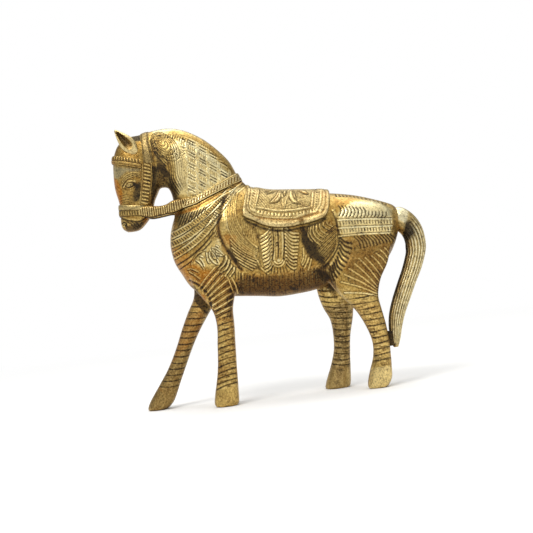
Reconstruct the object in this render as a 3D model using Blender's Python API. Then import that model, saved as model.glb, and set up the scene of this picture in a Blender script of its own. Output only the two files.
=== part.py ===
"""Brass horse statue: a standing horse put together from hollow and solid brass castings and strip brass.

The horse faces -X, its near (left) side is towards -Y, and it stands on z = 0. The trunk, neck, head and
legs are first drawn as one figure of smooth lofts. The castings are that figure cut at its brazed seams:
the trunk and neck shells are cored out, the head plugs into the open end of the neck, and each leg stands
on a spigot that follows its own loft. Saddle, straps and reins are bands between two grown copies of the
figure, so they lie on it everywhere with the same clearance.
"""

import math

import bmesh
import bpy
import numpy as np
from mathutils import Matrix

# Driving dimensions, in metres
STATUE_HEIGHT = 0.2016
BARREL_WIDTH = 0.0530
NECK_WIDTH = 0.0350
HEAD_WIDTH = 0.0245
FORELEG_WIDTH = 0.0200
HIND_LEG_WIDTH = 0.0240
TAIL_WIDTH = 0.0150
EAR_THICKNESS = 0.0060
FOOT_SPREAD = 0.0150
EAR_SPREAD = 0.4 * HEAD_WIDTH
SWELLING_WIDTH = 0.0080
SWELLING_SPREAD = 0.0226
TAIL_SWING = 0.0105
REIN_SPREAD = 0.0145
WALL = 0.0030
GAP = 0.0003
SADDLE_THICKNESS = 0.0024
STRAP_THICKNESS = 0.0013
REIN_THICKNESS = 0.0018
REIN_BAR_WIDTH = 0.0042
FORELEG_SEAM = 0.0660
HIND_LEG_SEAM = 0.0600
SPIGOT_SHOULDER = 0.0045
SPIGOT_LENGTH = 0.0060
HEAD_PLUG = 0.0050
EAR_RIM = 0.0016
EAR_HOLLOW_DEPTH = 0.0020
EYE_RADIUS = 0.0032
LUG_WIDTH = 0.0035
MID_BELLY = 0.0100
REACH = (-0.1250, 0.1250)
STEP = STATUE_HEIGHT / 201.6  # the outlines below count 201.6 steps from the ground to the ear tips
WELD = 1e-6

# A section of a loft: x and z of its front or upper outline point, x and z of its back or lower one, its
# width as a share of the part's full width, and how far out its middle lies as a share of the spread.
TRUNK = (
    (-72.4, 117.5, -72.4, 112.5, 0.12, 0),
    (-70.8, 126.0, -70.6, 103.0, 0.36, 0),
    (-66.4, 137.0, -66.8, 95.0, 0.56, 0),
    (-58.0, 151.0, -60.0, 83.5, 0.75, 0),
    (-45.0, 156.0, -46.0, 76.0, 0.88, 0),
    (-30.0, 155.5, -30.0, 74.8, 0.92, 0),
    (-15.0, 150.5, -14.0, 72.9, 0.94, 0),
    (0.0, 145.3, 0.0, 71.0, 0.98, 0),
    (15.0, 143.3, 14.0, 71.4, 1.00, 0),
    (30.0, 141.5, 27.0, 72.8, 0.95, 0),
    (45.0, 139.2, 41.0, 77.0, 0.92, 0),
    (60.0, 136.1, 56.0, 79.5, 0.94, 0),
    (73.0, 131.9, 70.0, 82.5, 0.86, 0),
    (83.0, 128.0, 79.5, 89.0, 0.66, 0),
    (88.3, 125.2, 85.5, 98.0, 0.44, 0),
    (90.6, 121.5, 89.2, 106.5, 0.22, 0),
)
TRUNK_CORE = TRUNK[3:13]
NECK = (
    (-9.0, 147.0, -60.0, 92.0, 1.00, 0),
    (-18.2, 158.0, -69.0, 113.0, 1.00, 0),
    (-23.4, 169.8, -67.6, 128.0, 0.94, 0),
    (-30.4, 178.9, -66.8, 141.0, 0.86, 0),
    (-40.0, 188.2, -66.8, 150.0, 0.78, 0),
    (-51.5, 195.4, -69.0, 157.0, 0.72, 0),
    (-63.0, 198.9, -72.5, 157.5, 0.68, 0),
    (-75.0, 198.6, -77.0, 159.5, 0.67, 0),
    (-86.0, 196.6, -84.0, 168.0, 0.60, 0),
)
HEAD = (
    (-96.0, 195.6, -84.5, 196.6, 0.34, 0),
    (-101.8, 189.8, -79.0, 191.0, 0.74, 0),
    (-105.3, 181.0, -75.5, 178.0, 0.98, 0),
    (-106.5, 170.0, -74.0, 166.0, 1.06, 0),
    (-106.5, 160.0, -75.6, 156.5, 1.00, 0),
    (-104.8, 150.5, -79.6, 149.0, 0.86, 0),
    (-104.6, 143.0, -82.0, 141.5, 0.78, 0),
    (-105.3, 137.0, -85.0, 136.5, 0.76, 0),
    (-104.5, 131.8, -90.0, 131.5, 0.64, 0),
    (-101.0, 129.0, -93.5, 129.2, 0.30, 0),
)
FRONT_SWELLING = (
    (-26.0, 143.5, -16.0, 141.5, 0.80, 0.68),
    (-31.5, 136.0, -13.0, 133.0, 1.00, 0.85),
    (-36.0, 128.0, -10.5, 126.0, 1.00, 0.95),
    (-36.9, 120.0, -9.2, 119.0, 1.00, 0.99),
    (-35.0, 112.5, -8.7, 112.0, 1.00, 1.00),
    (-32.0, 106.0, -9.0, 105.0, 1.00, 0.98),
    (-28.8, 99.5, -10.3, 98.5, 1.00, 0.93),
    (-24.0, 93.0, -13.0, 92.5, 1.00, 0.84),
    (-20.0, 90.0, -17.0, 89.8, 0.60, 0.83),
)
REAR_SWELLING = (
    (25.0, 126.5, 41.0, 128.5, 0.80, 0.82),
    (22.5, 119.5, 44.6, 121.0, 1.00, 0.925),
    (22.0, 113.0, 45.8, 114.5, 1.00, 0.98),
    (22.8, 106.5, 45.4, 108.0, 1.00, 0.99),
    (25.2, 100.5, 43.6, 101.5, 1.00, 0.965),
    (28.4, 95.0, 40.8, 95.8, 1.00, 0.91),
    (31.5, 90.0, 37.2, 90.4, 1.00, 0.815),
    (33.0, 88.0, 35.0, 88.1, 0.60, 0.82),
)
NEAR_FORELEG = (
    (-61.0, 100.0, -29.5, 100.0, 0.70, 0.87),
    (-59.5, 86.0, -29.0, 86.0, 0.96, 0.87),
    (-53.4, 76.0, -31.0, 76.0, 0.96, 0.90),
    (-47.6, 67.0, -33.4, 67.0, 0.86, 0.93),
    (-45.9, 56.0, -33.7, 56.0, 0.74, 0.96),
    (-47.2, 43.0, -34.5, 43.0, 0.68, 1.00),
    (-48.4, 31.0, -35.2, 31.0, 0.66, 1.00),
    (-50.0, 21.5, -35.7, 21.5, 0.68, 1.00),
    (-52.4, 11.5, -36.2, 11.5, 0.76, 1.00),
    (-54.0, 4.0, -36.6, 4.0, 0.82, 1.00),
    (-53.8, 0.0, -37.2, 0.0, 0.79, 1.00),
)
FAR_FORELEG = (
    (-63.0, 100.0, -36.5, 100.0, 0.70, 0.87),
    (-60.5, 87.0, -39.5, 86.0, 0.96, 0.87),
    (-61.4, 77.0, -44.6, 75.0, 0.94, 0.90),
    (-66.9, 67.0, -51.0, 66.0, 0.86, 0.93),
    (-72.9, 55.0, -59.5, 54.0, 0.74, 0.96),
    (-78.5, 42.5, -66.8, 41.5, 0.68, 1.00),
    (-85.4, 29.5, -73.2, 28.5, 0.66, 1.00),
    (-93.0, 18.5, -78.8, 16.8, 0.68, 1.00),
    (-100.7, 8.0, -83.6, 6.5, 0.76, 1.00),
    (-103.9, 2.0, -87.5, 1.8, 0.82, 1.00),
    (-103.8, 0.0, -90.5, 0.0, 0.79, 1.00),
)
NEAR_HIND_LEG = (
    (33.4, 100.0, 81.5, 98.0, 0.75, 0.87),
    (32.4, 88.0, 77.8, 86.0, 1.00, 0.90),
    (36.3, 75.5, 71.6, 75.5, 1.00, 0.94),
    (43.8, 64.5, 68.4, 64.5, 0.87, 0.97),
    (51.0, 56.0, 69.2, 56.0, 0.74, 1.00),
    (56.6, 45.0, 71.0, 45.0, 0.63, 1.00),
    (60.2, 33.0, 72.2, 33.0, 0.57, 1.00),
    (59.7, 22.5, 72.1, 22.5, 0.58, 1.00),
    (56.6, 13.5, 71.7, 13.5, 0.63, 1.00),
    (54.2, 6.0, 71.0, 6.0, 0.68, 1.00),
    (53.2, 0.0, 67.5, 0.0, 0.66, 1.00),
)
FAR_HIND_LEG = (
    (30.6, 100.0, 75.0, 98.0, 0.70, 0.87),
    (27.5, 85.0, 73.0, 85.0, 0.92, 0.90),
    (27.4, 71.5, 63.0, 71.5, 0.88, 0.94),
    (30.0, 59.5, 53.4, 59.5, 0.76, 0.97),
    (34.5, 49.0, 50.8, 49.0, 0.65, 1.00),
    (35.2, 37.0, 47.6, 37.0, 0.57, 1.00),
    (34.2, 27.0, 46.2, 27.0, 0.56, 1.00),
    (31.0, 17.0, 45.2, 17.0, 0.58, 1.00),
    (27.2, 8.0, 44.4, 8.0, 0.63, 1.00),
    (25.0, 2.0, 43.6, 2.0, 0.68, 1.00),
    (25.0, 0.0, 43.0, 0.0, 0.66, 1.00),
)
TAIL = (
    (82.5, 119.5, 82.5, 111.0, 0.44, 0.00),
    (87.5, 122.8, 86.8, 108.5, 0.70, 0.00),
    (92.3, 123.6, 90.4, 105.2, 0.86, 0.00),
    (97.6, 120.8, 92.0, 102.5, 0.94, 0.02),
    (102.4, 115.5, 92.8, 100.0, 1.00, 0.05),
    (106.0, 108.0, 93.2, 97.5, 1.00, 0.08),
    (107.4, 99.0, 93.0, 95.0, 1.00, 0.12),
    (106.6, 91.0, 92.4, 90.0, 1.00, 0.18),
    (102.5, 80.0, 88.5, 80.0, 1.00, 0.28),
    (97.1, 70.0, 83.6, 70.0, 0.98, 0.40),
    (91.9, 60.0, 78.9, 60.0, 0.94, 0.54),
    (87.0, 50.5, 75.3, 50.5, 0.86, 0.70),
    (83.1, 41.0, 73.6, 41.0, 0.74, 0.85),
    (80.5, 32.0, 73.7, 32.0, 0.60, 0.97),
    (78.4, 26.3, 75.0, 26.3, 0.40, 1.00),
)
EAR = (
    (-90.5, 181.3, -85.8, 184.7, 0.70, 0.96),
    (-94.8, 184.3, -86.8, 190.0, 1.00, 1.00),
    (-97.8, 188.3, -89.2, 194.2, 1.00, 1.00),
    (-99.5, 192.6, -93.2, 197.4, 0.86, 0.99),
    (-100.6, 196.8, -97.2, 199.9, 0.62, 0.94),
    (-101.4, 200.4, -100.4, 201.6, 0.24, 0.88),
)
REIN_BAR = (
    (-91.0, 145.6, -91.0, 139.0, 1.00, 0.60),
    (-84.0, 145.6, -84.0, 135.8, 1.00, 0.73),
    (-76.0, 144.4, -76.0, 136.3, 1.00, 0.84),
    (-71.0, 144.9, -71.0, 137.1, 1.00, 0.88),
    (-66.0, 147.0, -66.0, 138.2, 1.00, 0.93),
    (-60.0, 147.4, -59.0, 140.4, 1.00, 1.00),
    (-54.0, 148.0, -53.0, 142.6, 0.90, 1.04),
)

# Seams and bands, as outlines in the side view
NECK_SEAM = ((-76, 140.3), (-67, 141.3), (-50, 144.8), (-35, 151.3), (-18, 159.6), (5, 171))
HEAD_SEAM = ((-84.5, 212), (-80.6, 192), (-77, 176), (-74.6, 160), (-73.8, 149))
BELOW_JAW = ((-76.5, 145), (-76.5, 120))
SADDLE = (
    (-12.5, 172), (-14.4, 148.2), (-16.2, 143.3), (-17.7, 138.2), (-18.8, 133.9), (-19, 129.4), (-15.3, 126.9),
    (-11, 125.2), (-5.6, 121.3), (1, 118.8), (7, 118.2), (14, 117.8), (18.6, 118.9), (25.2, 118.5),
    (31, 120.2), (36, 121), (39.8, 121.6), (41.8, 129.1), (43.4, 137.2), (44.4, 172),
)
COLLAR = (
    (-74, 144.9), (-67, 144.9), (-60, 145.3), (-50, 147.6), (-40, 152), (-30, 156.6), (-20, 161.2),
    (-14.6, 163.8), (-14.6, 156.4), (-20, 154), (-30, 150), (-40, 146), (-50, 142), (-60, 140.2),
    (-67, 139.4), (-74, 139.2),
)
CROWN = ((-85, 210), (-79, 210), (-77.8, 190), (-76.2, 175.3), (-83.3, 175.3), (-83.6, 190))
BROW = ((-115, 186.8), (-115, 180.8), (-85.6, 171.8), (-85.0, 178.4))
CHEEK = (
    (-84.6, 175.0), (-77.2, 175.0), (-78.4, 165), (-81, 154.2), (-82.8, 147.2), (-90.1, 148.2),
    (-88.2, 155.2), (-86.0, 164.2),
)
NOSE = ((-115, 150.6), (-115, 140.4), (-95, 139.8), (-76, 137.2), (-76, 145), (-95, 147.6))
TAIL_LUG = ((70.4, 27.5), (70.4, 38), (76.5, 38), (76.5, 27.5))
EYE = (-95.4, 162.2)

# Colour and roughness of the brass
FINISHES = {
    "chased": ((0.62, 0.47, 0.21), 0.36),
    "dark": ((0.42, 0.31, 0.15), 0.45),
    "bright": ((0.80, 0.64, 0.32), 0.22),
    "strip": ((0.70, 0.55, 0.26), 0.30),
}

NEAR, FAR, BOTH = -1, 1, 0
SIDES = {"near": NEAR, "far": FAR}
TRUNK_SIDES, NECK_SIDES, LEG_SIDES, SMALL_SIDES = 22, 16, 12, 10

# Each leg's sections, width, side of the horse and the height of its seam
LEGS = {
    "near_foreleg": (NEAR_FORELEG, FORELEG_WIDTH, NEAR, FORELEG_SEAM),
    "far_foreleg": (FAR_FORELEG, FORELEG_WIDTH, FAR, FORELEG_SEAM),
    "near_hind_leg": (NEAR_HIND_LEG, HIND_LEG_WIDTH, NEAR, HIND_LEG_SEAM),
    "far_hind_leg": (FAR_HIND_LEG, HIND_LEG_WIDTH, FAR, HIND_LEG_SEAM),
}


def clear_scene():
    """Removes every object and collection that the file opened with."""
    for item in list(bpy.data.objects):
        bpy.data.objects.remove(item)
    for item in list(bpy.data.collections):
        bpy.data.collections.remove(item)


def new_collection(name):
    """A collection under the scene's own."""
    made = bpy.data.collections.new(name)
    bpy.context.scene.collection.children.link(made)
    return made


def brass(name, finish):
    """A piece's own brass, in one of the antique finishes."""
    colour, roughness = FINISHES[finish]
    material = bpy.data.materials.new(name + "_brass")
    material.use_nodes = True
    shader = material.node_tree.nodes["Principled BSDF"]
    shader.inputs["Base Color"].default_value = (*colour, 1.0)
    shader.inputs["Metallic"].default_value = 1.0
    shader.inputs["Roughness"].default_value = roughness
    return material


def smooth_rows(rows, steps):
    """A Catmull-Rom curve through the rows, with this many steps from one row to the next."""
    ends = np.vstack([2 * rows[0] - rows[1], rows, 2 * rows[-1] - rows[-2]])
    found = []
    for before, here, there, after in zip(ends, ends[1:], ends[2:], ends[3:]):
        for t in np.arange(steps) / steps:
            found.append(
                here
                + t * (there - before) / 2
                + t**2 * (before - 2.5 * here + 2 * there - after / 2)
                + t**3 * (1.5 * (here - there) + (after - before) / 2)
            )
    return np.array([*found, rows[-1]])


def section_rings(sections, width, spread, grow, fullness, lean, count, steps):
    """Points of each ring, as an array of rings by points by x, y, z.

    A ring is a superellipse through its two outline points. grow moves it outwards by that much, and the
    two end rings outwards along the loft too. lean narrows it towards its front or upper point.
    """
    rows = np.array(sections, float)
    rows[:, :4] *= STEP
    rows[:, 4] *= width / 2
    rows[:, 5] *= spread
    rows = smooth_rows(rows, steps)
    front, back, half_width, middle = rows[:, 0:2], rows[:, 2:4], rows[:, 4], rows[:, 5]
    centre = (front + back) / 2
    across = front - back
    half_length = np.linalg.norm(across, axis=1) / 2
    across = across / (2 * half_length[:, None])
    for end, next_one in ((0, 1), (-1, -2)):
        outwards = centre[end] - centre[next_one]
        centre[end] += grow * outwards / np.linalg.norm(outwards)
    half_length = np.maximum(half_length + grow, GAP)
    half_width = np.maximum(half_width + grow, GAP)
    angle = np.linspace(0, 2 * math.pi, count, endpoint=False)
    along = np.sign(np.cos(angle)) * np.abs(np.cos(angle)) ** (2 / fullness)
    aside = np.sign(np.sin(angle)) * np.abs(np.sin(angle)) ** (2 / fullness)
    aside[0] = aside[count // 2] = 0
    points = np.zeros((len(rows), count, 3))
    flat = centre[:, None, :] + across[:, None, :] * (half_length[:, None] * along)[:, :, None]
    points[:, :, 0], points[:, :, 2] = flat[:, :, 0], flat[:, :, 1]
    points[:, :, 1] = middle[:, None] + half_width[:, None] * (aside * (1 - lean * along))
    return points


def loft(name, sections, width, side=BOTH, spread=0.0, grow=0.0, fullness=2.2, lean=0.0, count=16, steps=2):
    """A closed skin over smooth rings, with a flat cap at each end."""
    rings = section_rings(sections, width, spread, grow, fullness, lean, count, steps)
    if side:
        rings[:, :, 1] *= side
    mesh = bmesh.new()
    rows = [[mesh.verts.new(point) for point in ring] for ring in rings]
    for first, second in zip(rows, rows[1:]):
        for j in range(count):
            k = (j + 1) % count
            mesh.faces.new((first[j], first[k], second[j]))
            mesh.faces.new((first[k], second[k], second[j]))
    mesh.faces.new(rows[0])
    mesh.faces.new(rows[-1])
    bmesh.ops.recalc_face_normals(mesh, faces=mesh.faces)
    return finished(name, mesh)


def finished(name, mesh):
    """Makes the bmesh an object among the cutters, until it is kept as a part."""
    data = bpy.data.meshes.new(name)
    mesh.to_mesh(data)
    mesh.free()
    piece = bpy.data.objects.new(name, data)
    piece.hide_render = True
    piece.display_type = "WIRE"
    CUTTERS.objects.link(piece)
    return piece


def half(side):
    """The lowest and highest y of one half of the horse, short of its middle by half a gap, or of both."""
    reach = BARREL_WIDTH
    return {NEAR: (-reach, -GAP / 2), FAR: (GAP / 2, reach), BOTH: (-reach, reach)}[side]


def prism(name, outline, low, high):
    """An outline of the side view as a filled 2D curve, extruded from one y to another."""
    curve = bpy.data.curves.new(name, "CURVE")
    curve.dimensions = "2D"
    curve.fill_mode = "BOTH"
    curve.extrude = (high - low) / 2
    spline = curve.splines.new("POLY")
    spline.points.add(len(outline) - 1)
    for point, (x, z) in zip(spline.points, outline):
        point.co = (x, z, 0, 1)
    spline.use_cyclic_u = True
    drawn = bpy.data.objects.new(name, curve)
    CUTTERS.objects.link(drawn)
    graph = bpy.context.evaluated_depsgraph_get()
    mesh = bmesh.new()
    mesh.from_mesh(bpy.data.meshes.new_from_object(drawn.evaluated_get(graph)))
    bpy.data.objects.remove(drawn)
    upright = Matrix.Translation((0, (low + high) / 2, 0)) @ Matrix.Rotation(math.pi / 2, 4, "X")
    bmesh.ops.transform(mesh, matrix=upright, verts=mesh.verts)
    bmesh.ops.remove_doubles(mesh, verts=mesh.verts, dist=WELD)
    bmesh.ops.recalc_face_normals(mesh, faces=mesh.faces)
    return finished(name, mesh)


def metres(outline, right=0.0, up=0.0):
    """An outline in metres, moved right and up by metres."""
    return [(x * STEP + right, z * STEP + up) for x, z in outline]


def slab(name, low, high):
    """A block right across the horse between two heights."""
    ahead, behind = REACH
    return prism(name, [(ahead, low), (behind, low), (behind, high), (ahead, high)], *half(BOTH))


def combine(piece, operation, *others):
    """Applies one exact Boolean after another to the piece's own mesh."""
    for other in others:
        modifier = piece.modifiers.new(operation.lower(), "BOOLEAN")
        modifier.operation = operation
        modifier.solver = "EXACT"
        modifier.object = other
    graph = bpy.context.evaluated_depsgraph_get()
    mesh = bpy.data.meshes.new_from_object(piece.evaluated_get(graph))
    piece.modifiers.clear()
    piece.data = mesh
    return piece


def copy_of(piece, name):
    """The same solid as an object of its own."""
    twin = piece.copy()
    twin.data = piece.data.copy()
    twin.name = name
    CUTTERS.objects.link(twin)
    return twin


def keep(piece, name, finish):
    """Moves a finished solid from the cutters to the parts of the horse and gives it its brass."""
    CUTTERS.objects.unlink(piece)
    HORSE.objects.link(piece)
    piece.name = name
    piece.data.name = name
    piece.hide_render = False
    piece.display_type = "TEXTURED"
    piece.data.materials.clear()
    piece.data.materials.append(brass(name, finish))
    piece.data.shade_smooth()
    piece.data.set_sharp_from_angle(angle=math.radians(35))
    return piece


def trunk_form(grow=0.0, sections=TRUNK):
    """The barrel from the chest to the tail root."""
    return loft("trunk_form", sections, BARREL_WIDTH, grow=grow, fullness=2.3, count=TRUNK_SIDES)


def neck_form(grow=0.0):
    """The neck from deep in the chest to the poll, a little narrower along the crest."""
    return loft("neck_form", NECK, NECK_WIDTH, grow=grow, lean=0.12, count=NECK_SIDES)


def head_form(grow=0.0):
    """The head from the poll to the lips, a little narrower along the nose."""
    return loft("head_form", HEAD, HEAD_WIDTH, grow=grow, fullness=2.4, lean=0.06, count=NECK_SIDES)


def leg_form(leg, grow=0.0):
    """A leg from inside the trunk down to its flat sole."""
    sections, width, side, seam = LEGS[leg]
    return loft(leg + "_form", sections, width, side=side, spread=FOOT_SPREAD, grow=grow, count=LEG_SIDES)


def swelling_forms(grow=0.0):
    """The low swellings behind the shoulder and at the flank, on both sides of the trunk."""
    return [
        loft("swelling_form", sections, SWELLING_WIDTH, side=side, spread=SWELLING_SPREAD, grow=grow,
             fullness=2.4, count=SMALL_SIDES)
        for sections in (FRONT_SWELLING, REAR_SWELLING)
        for side in SIDES.values()
    ]


def clothed_form(grow):
    """Trunk, neck and head as one solid, grown outwards: the surface that the harness lies on."""
    return combine(trunk_form(grow), "UNION", neck_form(grow), head_form(grow), *swelling_forms(grow))


def make_legs():
    """Each leg is its loft below the seam, with a spigot of the same loft drawn in by the shoulder."""
    sockets = {NEAR: [], FAR: []}
    for leg, (sections, width, side, seam) in LEGS.items():
        below = slab("below_seam", -WALL, seam - GAP / 2)
        limb = combine(leg_form(leg), "INTERSECT", below)
        neck = slab("spigot_height", seam - WALL, seam + SPIGOT_LENGTH)
        spigot = combine(leg_form(leg, -SPIGOT_SHOULDER), "INTERSECT", neck)
        keep(combine(limb, "UNION", spigot), leg, "dark" if side == FAR else "chased")
        hole = slab("socket_height", seam - WALL, seam + SPIGOT_LENGTH + GAP)
        socket = combine(leg_form(leg, GAP - SPIGOT_SHOULDER), "INTERSECT", hole)
        sockets[side].append(socket)
    return sockets


def body_zone():
    """The side view below the neck seam and above the leg seams."""
    fore, hind = FORELEG_SEAM + GAP / 2, HIND_LEG_SEAM + GAP / 2
    behind, front = REACH[1], NECK_SEAM[0][0] * STEP
    seam = metres(NECK_SEAM, up=-GAP / 2)
    return [*seam, (behind, seam[-1][1]), (behind, hind), (MID_BELLY, hind), (MID_BELLY, fore), (front, fore)]


def neck_zone():
    """The side view above the neck seam and behind the head seam."""
    head = metres(HEAD_SEAM, right=GAP / 2)
    neck = metres(NECK_SEAM, up=GAP / 2)
    return [*head, *neck, (neck[-1][0], head[0][1])]


def head_zone():
    """The side view in front of the head seam."""
    seam = metres(HEAD_SEAM, right=-GAP / 2)
    throat = metres(BELOW_JAW)
    return [*seam, *throat, (REACH[0], throat[-1][1]), (REACH[0], seam[0][1])]


def make_shells(figure, leg_sockets):
    """Trunk and neck as two halves each, cored out to an even wall."""
    cores = (trunk_form(-WALL, TRUNK_CORE), neck_form(-WALL))
    tail_socket = tail_form(GAP)
    for name, side in SIDES.items():
        body = combine(copy_of(figure, name), "INTERSECT", prism("body_zone", body_zone(), *half(side)))
        combine(body, "DIFFERENCE", *cores, tail_socket, *leg_sockets[side])
        keep(body, name + "_body_shell", "chased")
        neck = combine(copy_of(figure, name), "INTERSECT", prism("neck_zone", neck_zone(), *half(side)))
        combine(neck, "DIFFERENCE", *cores)
        keep(neck, name + "_neck_shell", "chased")


def make_head(figure):
    """The head in one solid casting, with a plug that fills the neck's open end and a socket for each ear."""
    head = combine(copy_of(figure, "head"), "INTERSECT", prism("head_zone", head_zone(), *half(BOTH)))
    seam_to_plug = [*metres(HEAD_SEAM, right=-WALL), *reversed(metres(HEAD_SEAM, right=HEAD_PLUG))]
    plug = combine(neck_form(-WALL - GAP), "INTERSECT", prism("plug_zone", seam_to_plug, *half(BOTH)))
    combine(head, "UNION", plug)
    for name, side in SIDES.items():
        combine(head, "UNION", eye(name, side))
        combine(head, "DIFFERENCE", ear_form(side, GAP))
        make_ear(name, side)
    keep(head, "head", "chased")


def eye(name, side):
    """A low round eyeball, half sunk in the side of the head."""
    mesh = bmesh.new()
    bmesh.ops.create_uvsphere(mesh, u_segments=12, v_segments=8, radius=EYE_RADIUS)
    place = Matrix.Translation((EYE[0] * STEP, side * (HEAD_WIDTH / 2 - EYE_RADIUS / 2), EYE[1] * STEP))
    bmesh.ops.transform(mesh, matrix=place, verts=mesh.verts)
    return finished(name + "_eye", mesh)


def ear_form(side, grow=0.0, sections=EAR, out=0.0):
    """One ear as a leaf that leans forward, or a stretch of it moved outwards."""
    return loft("ear_form", sections, EAR_THICKNESS, side=side, spread=EAR_SPREAD + out, grow=grow,
                count=SMALL_SIDES)


def make_ear(name, side):
    """A leaf with its root sunk in the head, hollowed from its outer face."""
    ear = ear_form(side)
    hollow = ear_form(side, -EAR_RIM, EAR[1:5], EAR_THICKNESS / 2 + EAR_RIM - EAR_HOLLOW_DEPTH)
    keep(combine(ear, "DIFFERENCE", hollow), name + "_ear", "bright")


def tail_form(grow=0.0):
    """The tail from its root in the rump, over and down in one arc."""
    return loft("tail_form", TAIL, TAIL_WIDTH, side=NEAR, spread=TAIL_SWING, grow=grow, fullness=2,
                count=SMALL_SIDES)


def make_tail():
    """The tail, swung a little to the near side, with the lug that ties its tip to the near hind leg."""
    inner = -TAIL_SWING
    lug = prism("lug_outline", metres(TAIL_LUG), inner - LUG_WIDTH, inner)
    tail = combine(tail_form(), "UNION", lug)
    keep(combine(tail, "DIFFERENCE", leg_form("near_hind_leg", GAP)), "tail", "bright")


def make_harness():
    """Saddle, straps and reins: bands between the figure's surface and the same surface grown outwards."""
    under = clothed_form(GAP)
    strap = clothed_form(GAP + STRAP_THICKNESS)
    thick = clothed_form(GAP + SADDLE_THICKNESS)
    rein = clothed_form(GAP + REIN_THICKNESS)

    def band(name, over, outline, side=BOTH):
        cut = prism(name + "_outline", metres(outline), *half(side))
        return combine(copy_of(over, name), "INTERSECT", cut)

    keep(combine(band("saddle", thick, SADDLE), "DIFFERENCE", under), "saddle", "bright")
    for name, outline in {"crown_strap": CROWN, "browband": BROW, "noseband": NOSE}.items():
        keep(combine(band(name, strap, outline), "DIFFERENCE", under), name, "strip")
    past_noseband = head_form(2 * GAP + STRAP_THICKNESS)
    for name, side in SIDES.items():
        strip = combine(band(name, strap, CHEEK, side), "DIFFERENCE", under)
        keep(strip, name + "_cheek_strap", "strip")
        bar = loft("bar", REIN_BAR, REIN_BAR_WIDTH, side, REIN_SPREAD, fullness=4, count=SMALL_SIDES)
        collar = combine(band(name, rein, COLLAR, side), "UNION", bar)
        keep(combine(collar, "DIFFERENCE", under, past_noseband), name + "_rein", "strip")


def main():
    leg_sockets = make_legs()
    limbs = [leg_form(leg) for leg in LEGS]
    figure = combine(trunk_form(), "UNION", neck_form(), head_form(), *swelling_forms(), *limbs)
    make_shells(figure, leg_sockets)
    make_head(figure)
    make_tail()
    make_harness()


clear_scene()
HORSE = new_collection("brass_horse_statue")
CUTTERS = new_collection("cutters")
main()
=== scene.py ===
# %% [markdown]
# # A brass horse, chased all over
#
# The horse is a small statue of cast brass, about 200 mm tall. Its surface is covered with cuts, rows of
# beads and small ridges that a chaser hammered in with punches. Then the whole was darkened and rubbed
# bright again, so that the dark stays in the cuts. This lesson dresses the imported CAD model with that
# surface, in four steps: the smooth figure, the chasing drawn as a height sheet, the harness as strips of
# the same skin, and a brass that reads how deep each point lies. Every new piece replaces the CAD node that
# it stands for.

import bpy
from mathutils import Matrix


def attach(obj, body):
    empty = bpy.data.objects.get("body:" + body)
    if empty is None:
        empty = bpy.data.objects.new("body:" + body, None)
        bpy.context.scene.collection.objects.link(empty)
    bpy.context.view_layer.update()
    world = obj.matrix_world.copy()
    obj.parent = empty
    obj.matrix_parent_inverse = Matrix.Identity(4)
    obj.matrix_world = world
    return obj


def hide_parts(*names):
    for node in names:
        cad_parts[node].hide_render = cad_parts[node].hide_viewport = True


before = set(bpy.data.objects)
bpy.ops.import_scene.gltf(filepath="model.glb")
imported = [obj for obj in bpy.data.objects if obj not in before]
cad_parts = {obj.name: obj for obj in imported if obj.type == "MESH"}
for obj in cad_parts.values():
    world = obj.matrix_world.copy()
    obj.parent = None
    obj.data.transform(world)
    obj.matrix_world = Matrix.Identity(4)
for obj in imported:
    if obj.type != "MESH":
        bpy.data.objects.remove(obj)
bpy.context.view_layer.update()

# %% [markdown]
# ## Working in millimetres
#
# The figure is worked out in millimetres as numpy arrays, and only the last step of each piece turns them
# into a mesh in metres. The horse looks along -X, its near side is towards -Y, and it stands on z = 0.

# %% Modules, units and sides
import math

import bmesh
import bpy
import numpy as np
from mathutils import Matrix, Vector

METRES = 0.001
NEAR, FAR = -1, 1
SIDES = {"near": NEAR, "far": FAR}
X, Y, Z = 0, 1, 2

# %% [markdown]
# ## The figure's sections
#
# A foundry's pattern maker carves such a horse from a side view and a set of templates across it. A table of
# sections is the same thing in numbers: each row gives the front or upper point of a section, its back or
# lower point, its width as a share of the part's full width, and how far out it stands as a share of the
# spread. The tables are those of the CAD model, so the skin lies where the CAD solids are.

# %% Section tables
TRUNK = (
    (-72.4, 117.5, -72.4, 112.5, 0.12, 0), (-70.8, 126, -70.6, 103, 0.36, 0),
    (-66.4, 137, -66.8, 95, 0.56, 0), (-58, 151, -60, 83.5, 0.75, 0),
    (-45, 156, -46, 76, 0.88, 0), (-30, 155.5, -30, 74.8, 0.92, 0),
    (-15, 150.5, -14, 72.9, 0.94, 0), (0, 145.3, 0, 71, 0.98, 0),
    (15, 143.3, 14, 71.4, 1, 0), (30, 141.5, 27, 72.8, 0.95, 0),
    (45, 139.2, 41, 77, 0.92, 0), (60, 136.1, 56, 79.5, 0.94, 0),
    (73, 131.9, 70, 82.5, 0.86, 0), (83, 128, 79.5, 89, 0.66, 0),
    (88.3, 125.2, 85.5, 98, 0.44, 0), (90.6, 121.5, 89.2, 106.5, 0.22, 0),
)
NECK = (
    (-9, 147, -60, 92, 1, 0), (-18.2, 158, -69, 113, 1, 0),
    (-23.4, 169.8, -67.6, 128, 0.94, 0), (-30.4, 178.9, -66.8, 141, 0.86, 0),
    (-40, 188.2, -66.8, 150, 0.78, 0), (-51.5, 195.4, -69, 157, 0.72, 0),
    (-63, 198.9, -72.5, 157.5, 0.68, 0), (-75, 198.6, -77, 159.5, 0.67, 0),
    (-86, 196.6, -84, 168, 0.6, 0),
)
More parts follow.
